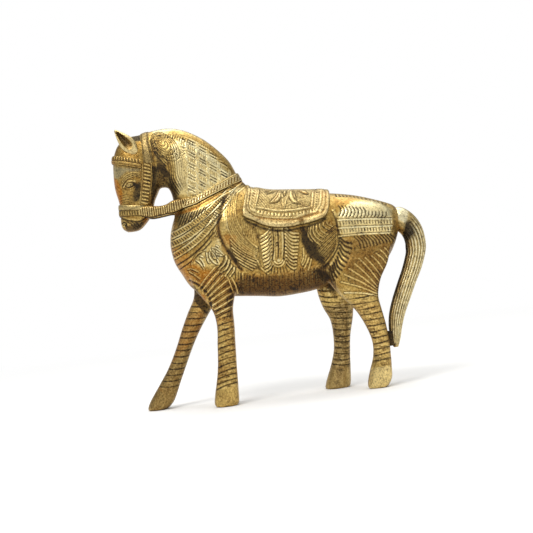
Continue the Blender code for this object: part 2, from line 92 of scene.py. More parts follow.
HEAD = (
    (-96, 195.6, -84.5, 196.6, 0.34, 0), (-101.8, 189.8, -79, 191, 0.74, 0),
    (-105.3, 181, -75.5, 178, 0.98, 0), (-106.5, 170, -74, 166, 1.06, 0),
    (-106.5, 160, -75.6, 156.5, 1, 0), (-104.8, 150.5, -79.6, 149, 0.86, 0),
    (-104.6, 143, -82, 141.5, 0.78, 0), (-105.3, 137, -85, 136.5, 0.76, 0),
    (-104.5, 131.8, -90, 131.5, 0.64, 0), (-101, 129, -93.5, 129.2, 0.3, 0),
)
FRONT_SWELLING = (
    (-26, 143.5, -16, 141.5, 0.8, 0.68), (-31.5, 136, -13, 133, 1, 0.85),
    (-36, 128, -10.5, 126, 1, 0.95), (-36.9, 120, -9.2, 119, 1, 0.99),
    (-35, 112.5, -8.7, 112, 1, 1), (-32, 106, -9, 105, 1, 0.98),
    (-28.8, 99.5, -10.3, 98.5, 1, 0.93), (-24, 93, -13, 92.5, 1, 0.84),
    (-20, 90, -17, 89.8, 0.6, 0.83),
)
REAR_SWELLING = (
    (25, 126.5, 41, 128.5, 0.8, 0.82), (22.5, 119.5, 44.6, 121, 1, 0.925),
    (22, 113, 45.8, 114.5, 1, 0.98), (22.8, 106.5, 45.4, 108, 1, 0.99),
    (25.2, 100.5, 43.6, 101.5, 1, 0.965), (28.4, 95, 40.8, 95.8, 1, 0.91),
    (31.5, 90, 37.2, 90.4, 1, 0.815), (33, 88, 35, 88.1, 0.6, 0.82),
)
NEAR_FORELEG = (
    (-61, 100, -29.5, 100, 0.7, 0.87), (-59.5, 86, -29, 86, 0.96, 0.87),
    (-53.4, 76, -31, 76, 0.96, 0.9), (-47.6, 67, -33.4, 67, 0.86, 0.93),
    (-45.9, 56, -33.7, 56, 0.74, 0.96), (-47.2, 43, -34.5, 43, 0.68, 1),
    (-48.4, 31, -35.2, 31, 0.66, 1), (-50, 21.5, -35.7, 21.5, 0.68, 1),
    (-52.4, 11.5, -36.2, 11.5, 0.76, 1), (-54, 4, -36.6, 4, 0.82, 1),
    (-53.8, 0, -37.2, 0, 0.79, 1),
)
FAR_FORELEG = (
    (-63, 100, -36.5, 100, 0.7, 0.87), (-60.5, 87, -39.5, 86, 0.96, 0.87),
    (-61.4, 77, -44.6, 75, 0.94, 0.9), (-66.9, 67, -51, 66, 0.86, 0.93),
    (-72.9, 55, -59.5, 54, 0.74, 0.96), (-78.5, 42.5, -66.8, 41.5, 0.68, 1),
    (-85.4, 29.5, -73.2, 28.5, 0.66, 1), (-93, 18.5, -78.8, 16.8, 0.68, 1),
    (-100.7, 8, -83.6, 6.5, 0.76, 1), (-103.9, 2, -87.5, 1.8, 0.82, 1),
    (-103.8, 0, -90.5, 0, 0.79, 1),
)
NEAR_HIND_LEG = (
    (33.4, 100, 81.5, 98, 0.75, 0.87), (32.4, 88, 77.8, 86, 1, 0.9),
    (36.3, 75.5, 71.6, 75.5, 1, 0.94), (43.8, 64.5, 68.4, 64.5, 0.87, 0.97),
    (51, 56, 69.2, 56, 0.74, 1), (56.6, 45, 71, 45, 0.63, 1),
    (60.2, 33, 72.2, 33, 0.57, 1), (59.7, 22.5, 72.1, 22.5, 0.58, 1),
    (56.6, 13.5, 71.7, 13.5, 0.63, 1), (54.2, 6, 71, 6, 0.68, 1),
    (53.2, 0, 67.5, 0, 0.66, 1),
)
FAR_HIND_LEG = (
    (30.6, 100, 75, 98, 0.7, 0.87), (27.5, 85, 73, 85, 0.92, 0.9),
    (27.4, 71.5, 63, 71.5, 0.88, 0.94), (30, 59.5, 53.4, 59.5, 0.76, 0.97),
    (34.5, 49, 50.8, 49, 0.65, 1), (35.2, 37, 47.6, 37, 0.57, 1),
    (34.2, 27, 46.2, 27, 0.56, 1), (31, 17, 45.2, 17, 0.58, 1),
    (27.2, 8, 44.4, 8, 0.63, 1), (25, 2, 43.6, 2, 0.68, 1),
    (25, 0, 43, 0, 0.66, 1),
)
TAIL = (
    (82.5, 119.5, 82.5, 111, 0.44, 0), (87.5, 122.8, 86.8, 108.5, 0.7, 0),
    (92.3, 123.6, 90.4, 105.2, 0.86, 0), (97.6, 120.8, 92, 102.5, 0.94, 0.02),
    (102.4, 115.5, 92.8, 100, 1, 0.05), (106, 108, 93.2, 97.5, 1, 0.08),
    (107.4, 99, 93, 95, 1, 0.12), (106.6, 91, 92.4, 90, 1, 0.18),
    (102.5, 80, 88.5, 80, 1, 0.28), (97.1, 70, 83.6, 70, 0.98, 0.4),
    (91.9, 60, 78.9, 60, 0.94, 0.54), (87, 50.5, 75.3, 50.5, 0.86, 0.7),
    (83.1, 41, 73.6, 41, 0.74, 0.85), (80.5, 32, 73.7, 32, 0.6, 0.97),
    (78.4, 26.3, 75, 26.3, 0.4, 1),
)
EAR = (
    (-90.5, 181.3, -85.8, 184.7, 0.7, 0.96), (-94.8, 184.3, -86.8, 190, 1, 1),
    (-97.8, 188.3, -89.2, 194.2, 1, 1), (-99.5, 192.6, -93.2, 197.4, 0.86, 0.99),
    (-100.6, 196.8, -97.2, 199.9, 0.62, 0.94), (-101.4, 200.4, -100.4, 201.6, 0.24, 0.88),
)
# Each form: its sections, width, spread, side, fullness (2 is an ellipse) and lean (narrower in front)
FORMS = {
    "trunk": (TRUNK, 53, 0, 0, 2.3, 0),
    "neck": (NECK, 35, 0, 0, 2.2, 0.12),
    "head": (HEAD, 24.5, 0, 0, 2.4, 0.06),
}
for sections, name in ((FRONT_SWELLING, "front_swelling"), (REAR_SWELLING, "rear_swelling")):
    for side, sign in SIDES.items():
        FORMS[side + "_" + name] = (sections, 8, 22.6, sign, 2.4, 0)
for sections, name, side, width in (
    (NEAR_FORELEG, "near_foreleg", NEAR, 20), (FAR_FORELEG, "far_foreleg", FAR, 20),
    (NEAR_HIND_LEG, "near_hind_leg", NEAR, 24), (FAR_HIND_LEG, "far_hind_leg", FAR, 24),
):
    FORMS[name] = (sections, width, 15, side, 2.2, 0)
print("sections:", sum(len(form[0]) for form in FORMS.values()))

# %% [markdown]
# ## A loft as a function of two numbers
#
# A loft is a surface with two parameters: how far along the part, and the angle round its section. Each
# section is a superellipse, an ellipse whose corners are pushed out a little, because a horse's barrel is
# fuller than an egg. Between two rows of a table the numbers follow a Catmull-Rom curve, which passes
# through every row.

# %% Catmull-Rom rows and superellipse rings
def smooth_rows(rows, steps):
    """Rows filled in between the given ones.

    on each stretch p(t) = b + t (c - a) / 2 + t^2 (a - 5b/2 + 2c - d/2) + t^3 (3 (b - c) / 2 + (d - a) / 2)
    """
    ends = np.vstack([2 * rows[0] - rows[1], rows, 2 * rows[-1] - rows[-2]])
    a, b, c, d = (ends[i : len(ends) - 3 + i, None, :] for i in range(4))
    t = (np.arange(steps) / steps)[None, :, None]
    curve = b + t * (c - a) / 2 + t**2 * (a - 2.5 * b + 2 * c - d / 2) + t**3 * (1.5 * (b - c) + (d - a) / 2)
    return np.vstack([curve.reshape(-1, rows.shape[1]), rows[-1:]])


def rings(sections, width, spread, side, fullness, lean=0.0, count=64, steps=6, grow=0.0):
    """Points (ring, angle, xyz) of a form.

    centre + across * A|cos|^(2/n) + Y * B|sin|^(2/n), with B narrowed towards the front
    """
    rows = smooth_rows(np.array(sections, float), steps)
    front, back = rows[:, 0:2], rows[:, 2:4]
    centre, half = (front + back) / 2, np.linalg.norm(front - back, axis=1) / 2
    across = (front - back) / (2 * half[:, None])
    angle = np.arange(count) * 2 * np.pi / count
    along = np.sign(np.cos(angle)) * np.abs(np.cos(angle)) ** (2 / fullness)
    aside = np.sign(np.sin(angle)) * np.abs(np.sin(angle)) ** (2 / fullness)
    flat = centre[:, None] + across[:, None] * ((half + grow)[:, None] * along)[..., None]
    out = (rows[:, 4:5] * width / 2 + grow) * aside * (1 - lean * along) + rows[:, 5:6] * spread
    return np.stack([flat[..., 0], (side or 1) * out, flat[..., 1]], axis=-1)


def closed_tube(grid):
    """Points, quads and triangles of a tube along the rings, closed by a fan to the middle of each end ring."""
    rows, count = grid.shape[:2]
    index = np.arange(rows * count).reshape(rows, count)
    beside = np.roll(index, -1, axis=1)
    body = np.stack([index[:-1], beside[:-1], beside[1:], index[1:]], axis=-1).reshape(-1, 4)
    first, last = rows * count, rows * count + 1
    low_cap = np.stack([np.full(count, first), beside[0], index[0]], axis=1)
    high_cap = np.stack([np.full(count, last), index[-1], beside[-1]], axis=1)
    points = np.vstack([grid.reshape(-1, 3), grid[0].mean(0), grid[-1].mean(0)])
    return points, body, np.vstack([low_cap, high_cap])


# %% Arrays to meshes and back
def mesh_from(name, points, quads, triangles=()):
    """A mesh from millimetre points and rows of four and of three corners, put in with foreach_set."""
    quads, triangles = np.asarray(quads, int).reshape(-1, 4), np.asarray(triangles, int).reshape(-1, 3)
    sizes = np.concatenate([np.full(len(quads), 4), np.full(len(triangles), 3)])
    mesh = bpy.data.meshes.new(name)
    mesh.vertices.add(len(points))
    mesh.vertices.foreach_set("co", (np.asarray(points) * METRES).ravel())
    mesh.loops.add(int(sizes.sum()))
    mesh.loops.foreach_set("vertex_index", np.concatenate([quads.ravel(), triangles.ravel()]))
    mesh.polygons.add(len(sizes))
    mesh.polygons.foreach_set("loop_start", np.concatenate([[0], np.cumsum(sizes)[:-1]]))
    mesh.update(calc_edges=True)
    mesh.shade_smooth()
    return mesh


def points_of(mesh):
    """The mesh's points in millimetres, as an array of rows x, y, z."""
    found = np.empty(len(mesh.vertices) * 3, np.float32)
    mesh.vertices.foreach_get("co", found)
    return found.reshape(-1, 3).astype(float) / METRES


def normals_of(mesh):
    """The unit normal at each point."""
    found = np.empty(len(mesh.vertices) * 3, np.float32)
    mesh.vertex_normals.foreach_get("vector", found)
    return found.reshape(-1, 3).astype(float)


def move_to(mesh, points):
    """Puts the mesh's points at these places."""
    mesh.vertices.foreach_set("co", (points * METRES).astype(np.float32).ravel())
    mesh.update()


def with_modifiers(mesh, *modifiers):
    """The mesh that a row of modifiers, each a type and its settings, makes of this one."""
    worker = bpy.data.objects.new("worker", mesh)
    bpy.context.scene.collection.objects.link(worker)
    for kind, settings in modifiers:
        modifier = worker.modifiers.new(kind, kind)
        for key, value in settings.items():
            setattr(modifier, key, value)
    graph = bpy.context.evaluated_depsgraph_get()
    made = bpy.data.meshes.new_from_object(worker.evaluated_get(graph))
    bpy.data.objects.remove(worker)
    return made


# %% [markdown]
# ## One smooth skin
#
# On the real horse the legs flow out of the barrel and the neck out of the withers, because the wax was one
# piece of modelling. Lofts that only pass through each other would meet in creases. So the lofts are merged
# on a coarse voxel grid, smoothed until the creases are fillets, and subdivided once. The grid is coarse on
# purpose: the smoothing then rounds a crease by a few millimetres, and the subdivided skin is even and fine
# enough to carry the chasing. Smoothing draws a form in a little, so the head, the swellings and the legs
# start slightly too big.

# %% Merge the lofts into the skin
SKIN_GRID = 1.0
SKIN_ROUNDING = 18
GROWN = {"trunk": 0.0, "neck": 0.0, "head": 0.05}


def merged_skin(names):
    """The union of the named lofts as one even mesh of small quads."""
    points, quads, triangles, count = [], [], [], 0
    for name in names:
        sections, width, spread, side, fullness, lean = FORMS[name]
        grid = rings(sections, width, spread, side, fullness, lean, grow=GROWN.get(name, 0.1))
        grid[..., Z] = np.maximum(grid[..., Z], 0)
        p, q, t = closed_tube(grid)
        points.append(p)
        quads.append(q + count)
        triangles.append(t + count)
        count += len(p)
    mesh = mesh_from("lofts", np.vstack(points), np.vstack(quads), np.vstack(triangles))
    part = bmesh.new()
    part.from_mesh(mesh)
    bmesh.ops.recalc_face_normals(part, faces=part.faces)
    part.to_mesh(mesh)
    part.free()
    return with_modifiers(
        mesh,
        ("REMESH", {"mode": "VOXEL", "voxel_size": SKIN_GRID * METRES}),
        ("SMOOTH", {"factor": 0.5, "iterations": SKIN_ROUNDING}),
        ("SUBSURF", {"levels": 1, "render_levels": 1}),
    )


skin = merged_skin(FORMS)
print("skin points:", len(skin.vertices), "faces:", len(skin.polygons))

# %% [markdown]
# ## Pieces cut from the skin
#
# The castings of the real horse meet along seams that were dressed flush, so the pieces of the skin have to
# meet without a step or a gap. They are cut from the one mesh after it has been chased. A seam is rarely a
# plane: it is a curve in the side view. So the points are sheared until the curve lies on a coordinate
# plane, Blender's bisect cuts there and closes the hole, and the shear is taken back. The new points then
# lie exactly on the curve.

# %% Cut a mesh along a curve of the side view
def curve(*points):
    """A function of one coordinate that runs through these (coordinate, value) points in straight runs."""
    table = np.array(sorted(map(tuple, points)), float)
    return lambda value: np.interp(value, table[:, 0], table[:, 1])


def by_x(function):
    """A level for points that follows their x by this function."""
    return lambda points: function(points[:, X])


def by_z(function):
    """A level for points that follows their z by this function."""
    return lambda points: function(points[:, Z])


def flat_at(value):
    """The same level for all points."""
    return lambda points: np.full(len(points), float(value))


def cut(mesh, axis, level, keep, cap=True):
    """The part of the mesh where this coordinate is over (keep 1) or under (keep -1) level(points).

    The cut is closed by cap.
    """
    points = points_of(mesh)
    sheared = points.copy()
    sheared[:, axis] -= level(points)
    worker = mesh.copy()
    move_to(worker, sheared)
    part = bmesh.new()
    part.from_mesh(worker)
    every = [*part.verts, *part.edges, *part.faces]
    normal = [0.0, 0.0, 0.0]
    normal[axis] = float(keep)
    made = bmesh.ops.bisect_plane(
        part, geom=every, dist=1e-8, plane_co=(0, 0, 0), plane_no=normal, clear_inner=True
    )
    if cap:
        rim = [edge for edge in made["geom_cut"] if isinstance(edge, bmesh.types.BMEdge)]
        bmesh.ops.triangle_fill(part, edges=rim, use_beauty=False)
        bmesh.ops.recalc_face_normals(part, faces=part.faces)
    part.to_mesh(worker)
    part.free()
    back = points_of(worker)
    back[:, axis] += level(back)
    move_to(worker, back)
    return worker


NECK_SEAM = curve((-130, 140.3), (-76, 140.3), (-67, 141.3), (-50, 144.8), (-35, 151.3), (-18, 159.6), (5, 171))
HEAD_SEAM = curve(
    (120, -76.5), (145, -76.5), (149, -73.8), (160, -74.6), (176, -77), (192, -80.6), (212, -84.5),
)
FORELEG_SEAM, HIND_LEG_SEAM, MID_BELLY = 66.0, 60.0, 10.0


def leg_seam(points):
    """The height of the leg seams: one for the forelegs and one for the hind legs."""
    return np.where(points[:, X] < MID_BELLY, FORELEG_SEAM, HIND_LEG_SEAM)


def castings(mesh):
    """The skin as a dict of closed meshes, one for each casting of the CAD model."""
    legs, rest = (cut(mesh, Z, leg_seam, keep) for keep in (-1, 1))
    fore, hind = (cut(legs, X, flat_at(MID_BELLY), keep) for keep in (-1, 1))
    head, rest = (cut(rest, X, by_z(HEAD_SEAM), keep) for keep in (-1, 1))
    body, neck = (cut(rest, Z, by_x(NECK_SEAM), keep) for keep in (-1, 1))
    found = {"head": head}
    for side, sign in SIDES.items():
        for name, whole in (("foreleg", fore), ("hind_leg", hind), ("neck_shell", neck), ("body_shell", body)):
            found[f"{side}_{name}"] = cut(whole, Y, flat_at(0), sign)
    return found


# %% [markdown]
# ## The chasing sheet
#
# A chaser plans the pattern flat and follows it over the form. The sheet does the same: it is a flat field
# in the side view, in cells of a fifth of a millimetre, that holds four numbers for each place. `rise` is
# how far the metal stands out or is cut in, in millimetres. `dark` is how much patina stays there, and in
# some areas it is painted shade. `warm` leans the colour towards orange-brown, or towards grey where the
# metal is smooth and dull, and in one patch for a painted grey sheen. The fourth number is how far hands
# have polished the metal, and on the neck and the croup it also makes a painted highlight. Every cut, ridge,
# bead and border is a formula of the distance from a line or of the distance along it, worked out for all
# the cells near that line. The far side of the horse takes the same sheet mirrored, as such horses are made.

# %% The sheet
CELL = 0.2
LEFT, RIGHT, LOW, HIGH = -112.0, 112.0, -5.0, 208.0
COLUMNS, ROWS = int((RIGHT - LEFT) / CELL), int((HIGH - LOW) / CELL)
across, upwards = np.meshgrid(LEFT + CELL * np.arange(COLUMNS), LOW + CELL * np.arange(ROWS))
rise, dark, warm, worn_and_lit = (np.zeros((ROWS, COLUMNS)) for _ in range(4))
print("sheet cells:", across.shape)

# %% [markdown]
# Three curves shape every mark: a bell, a smooth step, and a cosine row whose crests are the marks of the
# row.

# %% Bell, step, row and turn
def bell(value, width):
    """exp(-(value / width)^2)."""
    return np.exp(-((value / width) ** 2))


def soft(value, low, high):
    """Smooth step: 0 under low, 1 over high, 3t^2 - 2t^3 between."""
    t = np.clip((value - low) / (high - low), 0, 1)
    return t * t * (3 - 2 * t)


def marks(phase, spacing, share, blur=0.2):
    """1 on the marks of an even row and 0 between them: a soft step on 1/2 + cos(2 pi phase / spacing) / 2."""
    wave = 0.5 + 0.5 * np.cos(2 * np.pi * phase / spacing)
    return soft(wave, 1 - share - blur, 1 - share + blur)


def turned(x, z, degrees):
    """The same places in axes turned to the left by this angle."""
    angle = math.radians(degrees)
    return x * math.cos(angle) + z * math.sin(angle), -x * math.sin(angle) + z * math.cos(angle)


def shifted(points, dx, dz):
    """The same line, moved by dx and dz."""
    return [(x + dx, z + dz) for x, z in points]


def blended(first, second, share):
    """The line that lies this share of the way from the first line to the second, point by point."""
    return [
        ((1 - share) * ax + share * bx, (1 - share) * az + share * bz)
        for (ax, az), (bx, bz) in zip(first, second)
    ]


# %% Places beside a line
def spline(points):
    """A smooth line through the points, as a Catmull-Rom curve with eight straight runs on each stretch."""
    return smooth_rows(np.array(points, float), 8)


def window(points, margin):
    """The slices of the sheet that lie within the margin of the points."""
    low, high = points.min(0) - margin, points.max(0) + margin
    i = np.clip(((np.array([low[0], high[0]]) - LEFT) / CELL).astype(int), 0, COLUMNS)
    j = np.clip(((np.array([low[1], high[1]]) - LOW) / CELL).astype(int), 0, ROWS)
    return slice(j[0], j[1] + 1), slice(i[0], i[1] + 1)


def beside(line, cells):
    """How far along the line each cell's nearest point is, the distance to its left, and the line's length."""
    x, z = across[cells], upwards[cells]
    best, along, aside = np.full(x.shape, 1e9), np.zeros(x.shape), np.zeros(x.shape)
    done = 0.0
    for (ax, az), (bx, bz) in zip(line[:-1], line[1:]):
        length = max(math.hypot(bx - ax, bz - az), 1e-9)
        tx, tz = (bx - ax) / length, (bz - az) / length
        t = np.clip((x - ax) * tx + (z - az) * tz, 0, length)
        dx, dz = x - ax - t * tx, z - az - t * tz
        near = dx * dx + dz * dz
        closer = near < best
        best = np.where(closer, near, best)
        along = np.where(closer, done + t, along)
        aside = np.where(closer, np.sqrt(near) * np.sign(tx * dz - tz * dx), aside)
        done += length
    return along, aside, done


def near_line(points, margin, smooth=True):
    """The cells within the margin of the line, and what beside() says of them."""
    line = spline(points) if smooth and len(points) > 2 else np.array(points, float)
    cells = window(line, margin)
    return cells, *beside(line, cells)


def band(points, low, high):
    """The cells of a strip beside a line, from aside = low to high, with along, aside and a soft mask."""
    cells, along, aside, length = near_line(points, max(abs(low), abs(high)) + 1)
    inside = soft(aside, low - 0.15, low + 0.15) * (1 - soft(aside, high - 0.15, high + 0.15))
    return cells, along, aside, inside * (along > 0.01) * (along < length - 0.01)


def inside_of(outline):
    """The window of an outline, and the signed distance to its edge there: over 0 inside, under 0 outside."""
    ring = np.array([*outline, outline[0]], float)
    cells = window(ring, 1.5)
    x, z = across[cells], upwards[cells]
    odd = np.zeros(x.shape, bool)
    for (ax, az), (bx, bz) in zip(ring[:-1], ring[1:]):
        if az != bz:
            odd ^= ((az > z) != (bz > z)) & (x < (bx - ax) * (z - az) / (bz - az) + ax)
    return cells, np.where(odd, 1, -1) * np.abs(beside(ring, cells)[1])


# %% Marks of the punch and the chisel
def lay(cells, rise_by, dark_by, warm_by=0.0):
    """Adds to three fields on a window of the sheet. dark never passes 1 and takes the darker of the two."""
    rise[cells] += rise_by
    dark[cells] = np.clip(np.maximum(dark[cells], dark_by), 0, 1)
    warm[cells] += warm_by


def line_cut(points, width, depth, shade=0.9, smooth=True):
    """One cut: rise falls by depth * bell(aside, width), and dark grows with it."""
    cells, along, aside, length = near_line(points, 3 * width + 0.5, smooth)
    profile = bell(aside, width)
    lay(cells, -depth * profile, shade * profile)


def trough(points, width, depth, shade, warm_by=0.0):
    """A broad smooth furrow between two forms, with patina left in its bottom."""
    cells, along, aside, length = near_line(points, 3 * width)
    profile = bell(aside, width)
    lay(cells, -depth * profile, shade * profile, warm_by * profile)


def line_ridge(points, width, height, warm_by=0.0):
    """One raised thread: rise grows by height * bell(aside, width), with a dark line left at each foot."""
    cells, along, aside, length = near_line(points, 4 * width)
    profile, foot = bell(aside, width), bell(np.abs(aside) - 1.7 * width, 0.5 * width)
    rise[cells] += height * profile - 0.35 * height * foot
    dark[cells] = np.clip(np.maximum(dark[cells] * (1 - 0.9 * profile), 0.6 * foot), 0, 1)
    warm[cells] += warm_by * profile


def stripe(points, low, high, rise_by, dark_by=0.0):
    """A flat strip beside a line, raised or sunk."""
    cells, along, aside, inside = band(points, low, high)
    lay(cells, rise_by * inside, dark_by * inside)


def ticks(points, low, high, spacing, depth, shade, lean=0.0, share=0.45):
    """A row of punched ticks across a strip: marks of the phase along + lean * (aside - low)."""
    cells, along, aside, inside = band(points, low, high)
    mark = marks(along + lean * (aside - low), spacing, share) * inside
    lay(cells, -depth * mark, shade * mark)


def beads(points, spacing, radius, height):
    """A row of round punch marks with a bead in each: rise grows by height * bell(r, radius)."""
    cells, along, aside, inside = band(points, -1.3 * radius, 1.3 * radius)
    r = np.hypot((along + spacing / 2) % spacing - spacing / 2, aside)
    around = inside * soft(r, radius * 0.9, radius * 1.35)
    lay(cells, height * (bell(r, radius) * inside) - 0.12 * around, 0.75 * around)


def hatch(outline, direction, spacing, share, depth, shade):
    """Even cuts over an area, in this direction: marks of the distance across them."""
    cells, into = inside_of(outline)
    middle = np.mean(outline, axis=0)
    along, over = turned(across[cells] - middle[0], upwards[cells] - middle[1], direction)
    mark = marks(over, spacing, share) * soft(into, 0, 0.4)
    lay(cells, -depth * mark, shade * mark)


def swell(x, z, wide, high, by):
    """A broad soft form: rise grows by this much times exp(-((dx / wide)^2 + (dz / high)^2))."""
    cells = window(np.array([[x, z]]), 2.6 * max(wide, high))
    rise[cells] += by * np.exp(-(((across[cells] - x) / wide) ** 2 + ((upwards[cells] - z) / high) ** 2))


def tone(outline, warm_by, dark_by, edge, worn_and_lit_by=0.0):
    """Leans the colour of an area, fading in over the edge."""
    cells, into = inside_of(outline)
    mask = soft(into, 0, edge)
    warm[cells] += warm_by * mask
    dark[cells] = np.clip(dark[cells] + dark_by * mask, 0, 1)
    worn_and_lit[cells] += worn_and_lit_by * mask


# %% [markdown]
# ## Broad forms
#
# Before any line is cut, the model has its muscles and folds: the furrow in front of each swelling, the
# hollow of the flank, the round of the thigh. These are wide, shallow and smooth, and they do more for the
# look of the metal than the cuts, because polished brass shows each change of slope.

# %% Muscles, furrows and folds
swell(60, 88, 13, 16, 0.7)
swell(-50, 100, 13, 14, 0.6)
swell(-45, 82, 8, 12, 0.5)
trough(
    [
        (-27.6, 148), (-31.5, 142.8), (-34.6, 134.6), (-36.9, 128.9), (-37.4, 123.4), (-36.6, 117.7),
        (-34.8, 111.9), (-32.2, 106.5), (-29.9, 101.8), (-27.5, 97.2), (-24.4, 92.9),
    ],
    1.4, 0.6, 0.6, 0.6,
)
trough(
    [(-17, 127.7), (-12.2, 121.2), (-9.8, 114.9), (-9.6, 109), (-10.2, 103), (-10.9, 98), (-11.4, 92)],
    1.5, 0.5, 0.4,
)
trough(
    [(22, 121), (22, 114.7), (23, 109.1), (25.3, 102.5), (28.6, 97.3), (31, 92.9), (34, 87.5)],
    4.4, 0.7, 0.0,
)
# Painted shade: the left part of the swelling behind the saddle, darkened broadly, with a little orange.
tone(
    [(14, 122), (16, 108), (20, 98), (30, 86), (38, 84), (40, 92), (34, 100), (34, 112), (36, 122)],
    0.15, 0.62, 8,
)
trough(
    [(46.6, 121), (46.9, 114.1), (47.3, 107.7), (45.6, 101.5), (42.6, 96.3), (38.6, 91.6), (34, 87)],
    1.0, 0.45, 0.6,
)
trough([(30, 85), (35, 80), (37, 74), (40, 68)], 2.4, 0.8, 0.3)
trough([(-62, 90), (-55, 85), (-50, 78), (-49, 70)], 0.8, 0.6, 0.7)
trough([(82, 128), (86.5, 121), (87.5, 112), (84, 104)], 1.6, 0.5, 0.35)
# Orange colour under the barrel, with a little painted shade.
tone([(-30, 92), (-12, 90), (10, 86), (35, 88), (42, 80), (35, 70), (-35, 70)], 0.5, 0.16, 6)
tone([(-76, 121), (-60, 110), (-45, 96), (-44, 84), (-62, 84), (-74, 100)], 0.75, 0.05, 4)
tone(
    [(-36.6, 120), (-29.4, 119.9), (-23.3, 118.3), (-24.8, 112.2), (-30.5, 109.3), (-34.7, 112.3)],
    0.9, 0.22, 2,
)
# Painted shade on the lower part of the swelling in front of the saddle, with a little orange.
tone(
    [
        (-30.5, 116.6), (-18.3, 110.4), (-11.3, 102.4), (-10.3, 90.5), (-20.1, 90.5), (-29.3, 98.2),
        (-34, 106.8),
    ],
    0.2, 0.46, 3,
)
# More painted shade on the swelling behind the saddle.
tone([(22, 118), (27, 112), (36, 106), (42, 98), (33, 88), (22, 96), (19, 108)], 0.0, 0.32, 3)
# A painted sheen: a grey, paler patch on the upper front swelling.
tone([(-34, 135), (-30, 135), (-29.5, 121), (-35.5, 121)], -0.3, 0.0, 1.5, 0.3)
# Painted highlight: the neck and its upper edge are made paler through the fourth number.
tone(
    [
        (-66, 148), (-66, 172), (-66, 186), (-58, 193), (-46, 189), (-34, 178), (-24, 164), (-20, 158),
        (-30, 152), (-46, 146),
    ],
    0.0, 0.0, 5, 0.6,
)
tone(
    [
        (-72, 178), (-70, 198), (-56, 196), (-40, 186), (-30, 174), (-20, 160), (-26, 158), (-40, 174),
        (-54, 188),
    ],
    0.0, 0.0, 2, 0.3,
)
# Painted highlight: the croup and its top are made paler through the fourth number, with a little orange.
tone([(58, 133), (46, 125), (48, 107), (66, 106), (86, 104), (90, 124), (74, 132)], 0.1, 0.0, 3, 0.6)
tone([(64, 136), (47, 127), (47, 120), (66, 119), (86, 116), (90, 126), (74, 134)], 0.0, 0.0, 4, 0.18)
tone([(44, 142), (47, 128), (62, 130), (66, 136), (56, 142)], 0.35, 0.12, 3)
tone([(48, 108), (84, 106), (84, 78), (66, 60), (46, 76)], 0.3, 0.36, 4)
tone([(-62, 70), (-30, 76), (-30, 12), (-54, 12)], 0.15, 0.0, 2, 0.08)
# The near foreleg's back edge: orange colour, darkened as painted shade.
tone([(-41, 74), (-28, 78), (-28, 8), (-37, 8)], 0.25, 0.2, 3)
# Painted shade where the far foreleg meets the chest.
tone([(-66, 88), (-58, 87), (-50, 70), (-48, 58), (-53, 60), (-62, 74)], 0.0, 0.5, 2)
tone([(-60, 92), (-42, 100), (-30, 84), (-32, 58), (-48, 56)], 0.4, 0.22, 3)
tone([(-104, 12), (-60, 80), (-44, 72), (-78, 12)], 0.0, 0.0, 2, 0.1)
tone([(40, 70), (72, 66), (74, 12), (52, 12)], 0.0, 0.0, 2, 0.22)
tone([(24, 74), (52, 72), (48, 12), (26, 12)], 0.0, 0.0, 2, 0.2)
tone([(-40, 138), (-8, 150), (16, 122), (8, 92), (-36, 90), (-44, 112)], 0.0, 0.0, 4, 0.12)
tone([(-8, 121), (-8, 92), (16, 92), (20, 121)], 0.15, 0.06, 3, 0.1)
tone([(-74, 124), (-60, 108), (-36, 128), (-14, 152), (-20, 157), (-50, 142), (-68, 136)], 0.0, 0.0, 3, 0.3)
tone([(-110, 205), (-110, 128), (-88, 128), (-78, 150), (-74, 172), (-76, 200)], 0.05, 0.16, 3)
# The belly's underside: orange colour, darkened as painted shade.
tone([(-40, 90), (44, 92), (44, 66), (-40, 66)], 0.35, 0.36, 6)
print("broad forms, millimetres:", round(rise.min(), 2), "to", round(rise.max(), 2))

# %% [markdown]
# ## The chest and the shoulder
#
# Three decorated bands cross the chest like the straps of a breastplate. Each is a pair of border lines with
# punched ticks between them, and a plain dark furrow parts it from the next. They run on round the front,
# because both sides take the same sheet.

# %% Bands across the chest
BREAST_BANDS = (
    ([(-72, 122.5), (-60, 127), (-50, 132.4), (-40, 138.8), (-30, 146.5), (-22, 153.5)], -2.0, 2.0),
    ([(-74, 116.2), (-62, 120.2), (-52, 125.6), (-43, 131.2), (-35, 137.8), (-27, 145.5)], -2.1, 2.1),
    ([(-74, 107.2), (-64, 111.6), (-55, 116.6), (-47, 122.6), (-40.5, 129), (-35.5, 135.5)], -1.9, 1.9),
)
for points, low, high in BREAST_BANDS:
    ticks(points, low + 0.7, high - 0.7, spacing=1.9, lean=0.25, share=0.36, depth=0.18, shade=0.75)
    for aside, groove in ((low, (low - 1.1, low - 0.5)), (high, (high + 0.5, high + 1.1))):
        stripe(points, aside - 0.45, aside + 0.45, 0.22)
        stripe(points, *groove, -0.22, 0.8)
line_cut([(-70, 101.5), (-61, 105.8), (-53.5, 110.4), (-46.5, 116.2), (-41, 121.5)], 0.6, 0.35)
line_cut([(-68, 98.6), (-60, 102.9), (-51, 109), (-43.5, 115.4)], 0.5, 0.3)
hatch(
    [(-66, 128.5), (-64, 137.5), (-52, 138.8), (-44, 141.4), (-42, 138.8), (-54, 131.2)],
    62, 1.7, 0.4, 0.22, 0.6,
)
# Painted shade on the chest just below the collar.
tone([(-69, 127), (-66, 139.5), (-50, 141), (-40, 143), (-42, 138), (-56, 130)], 0.0, 0.42, 3)

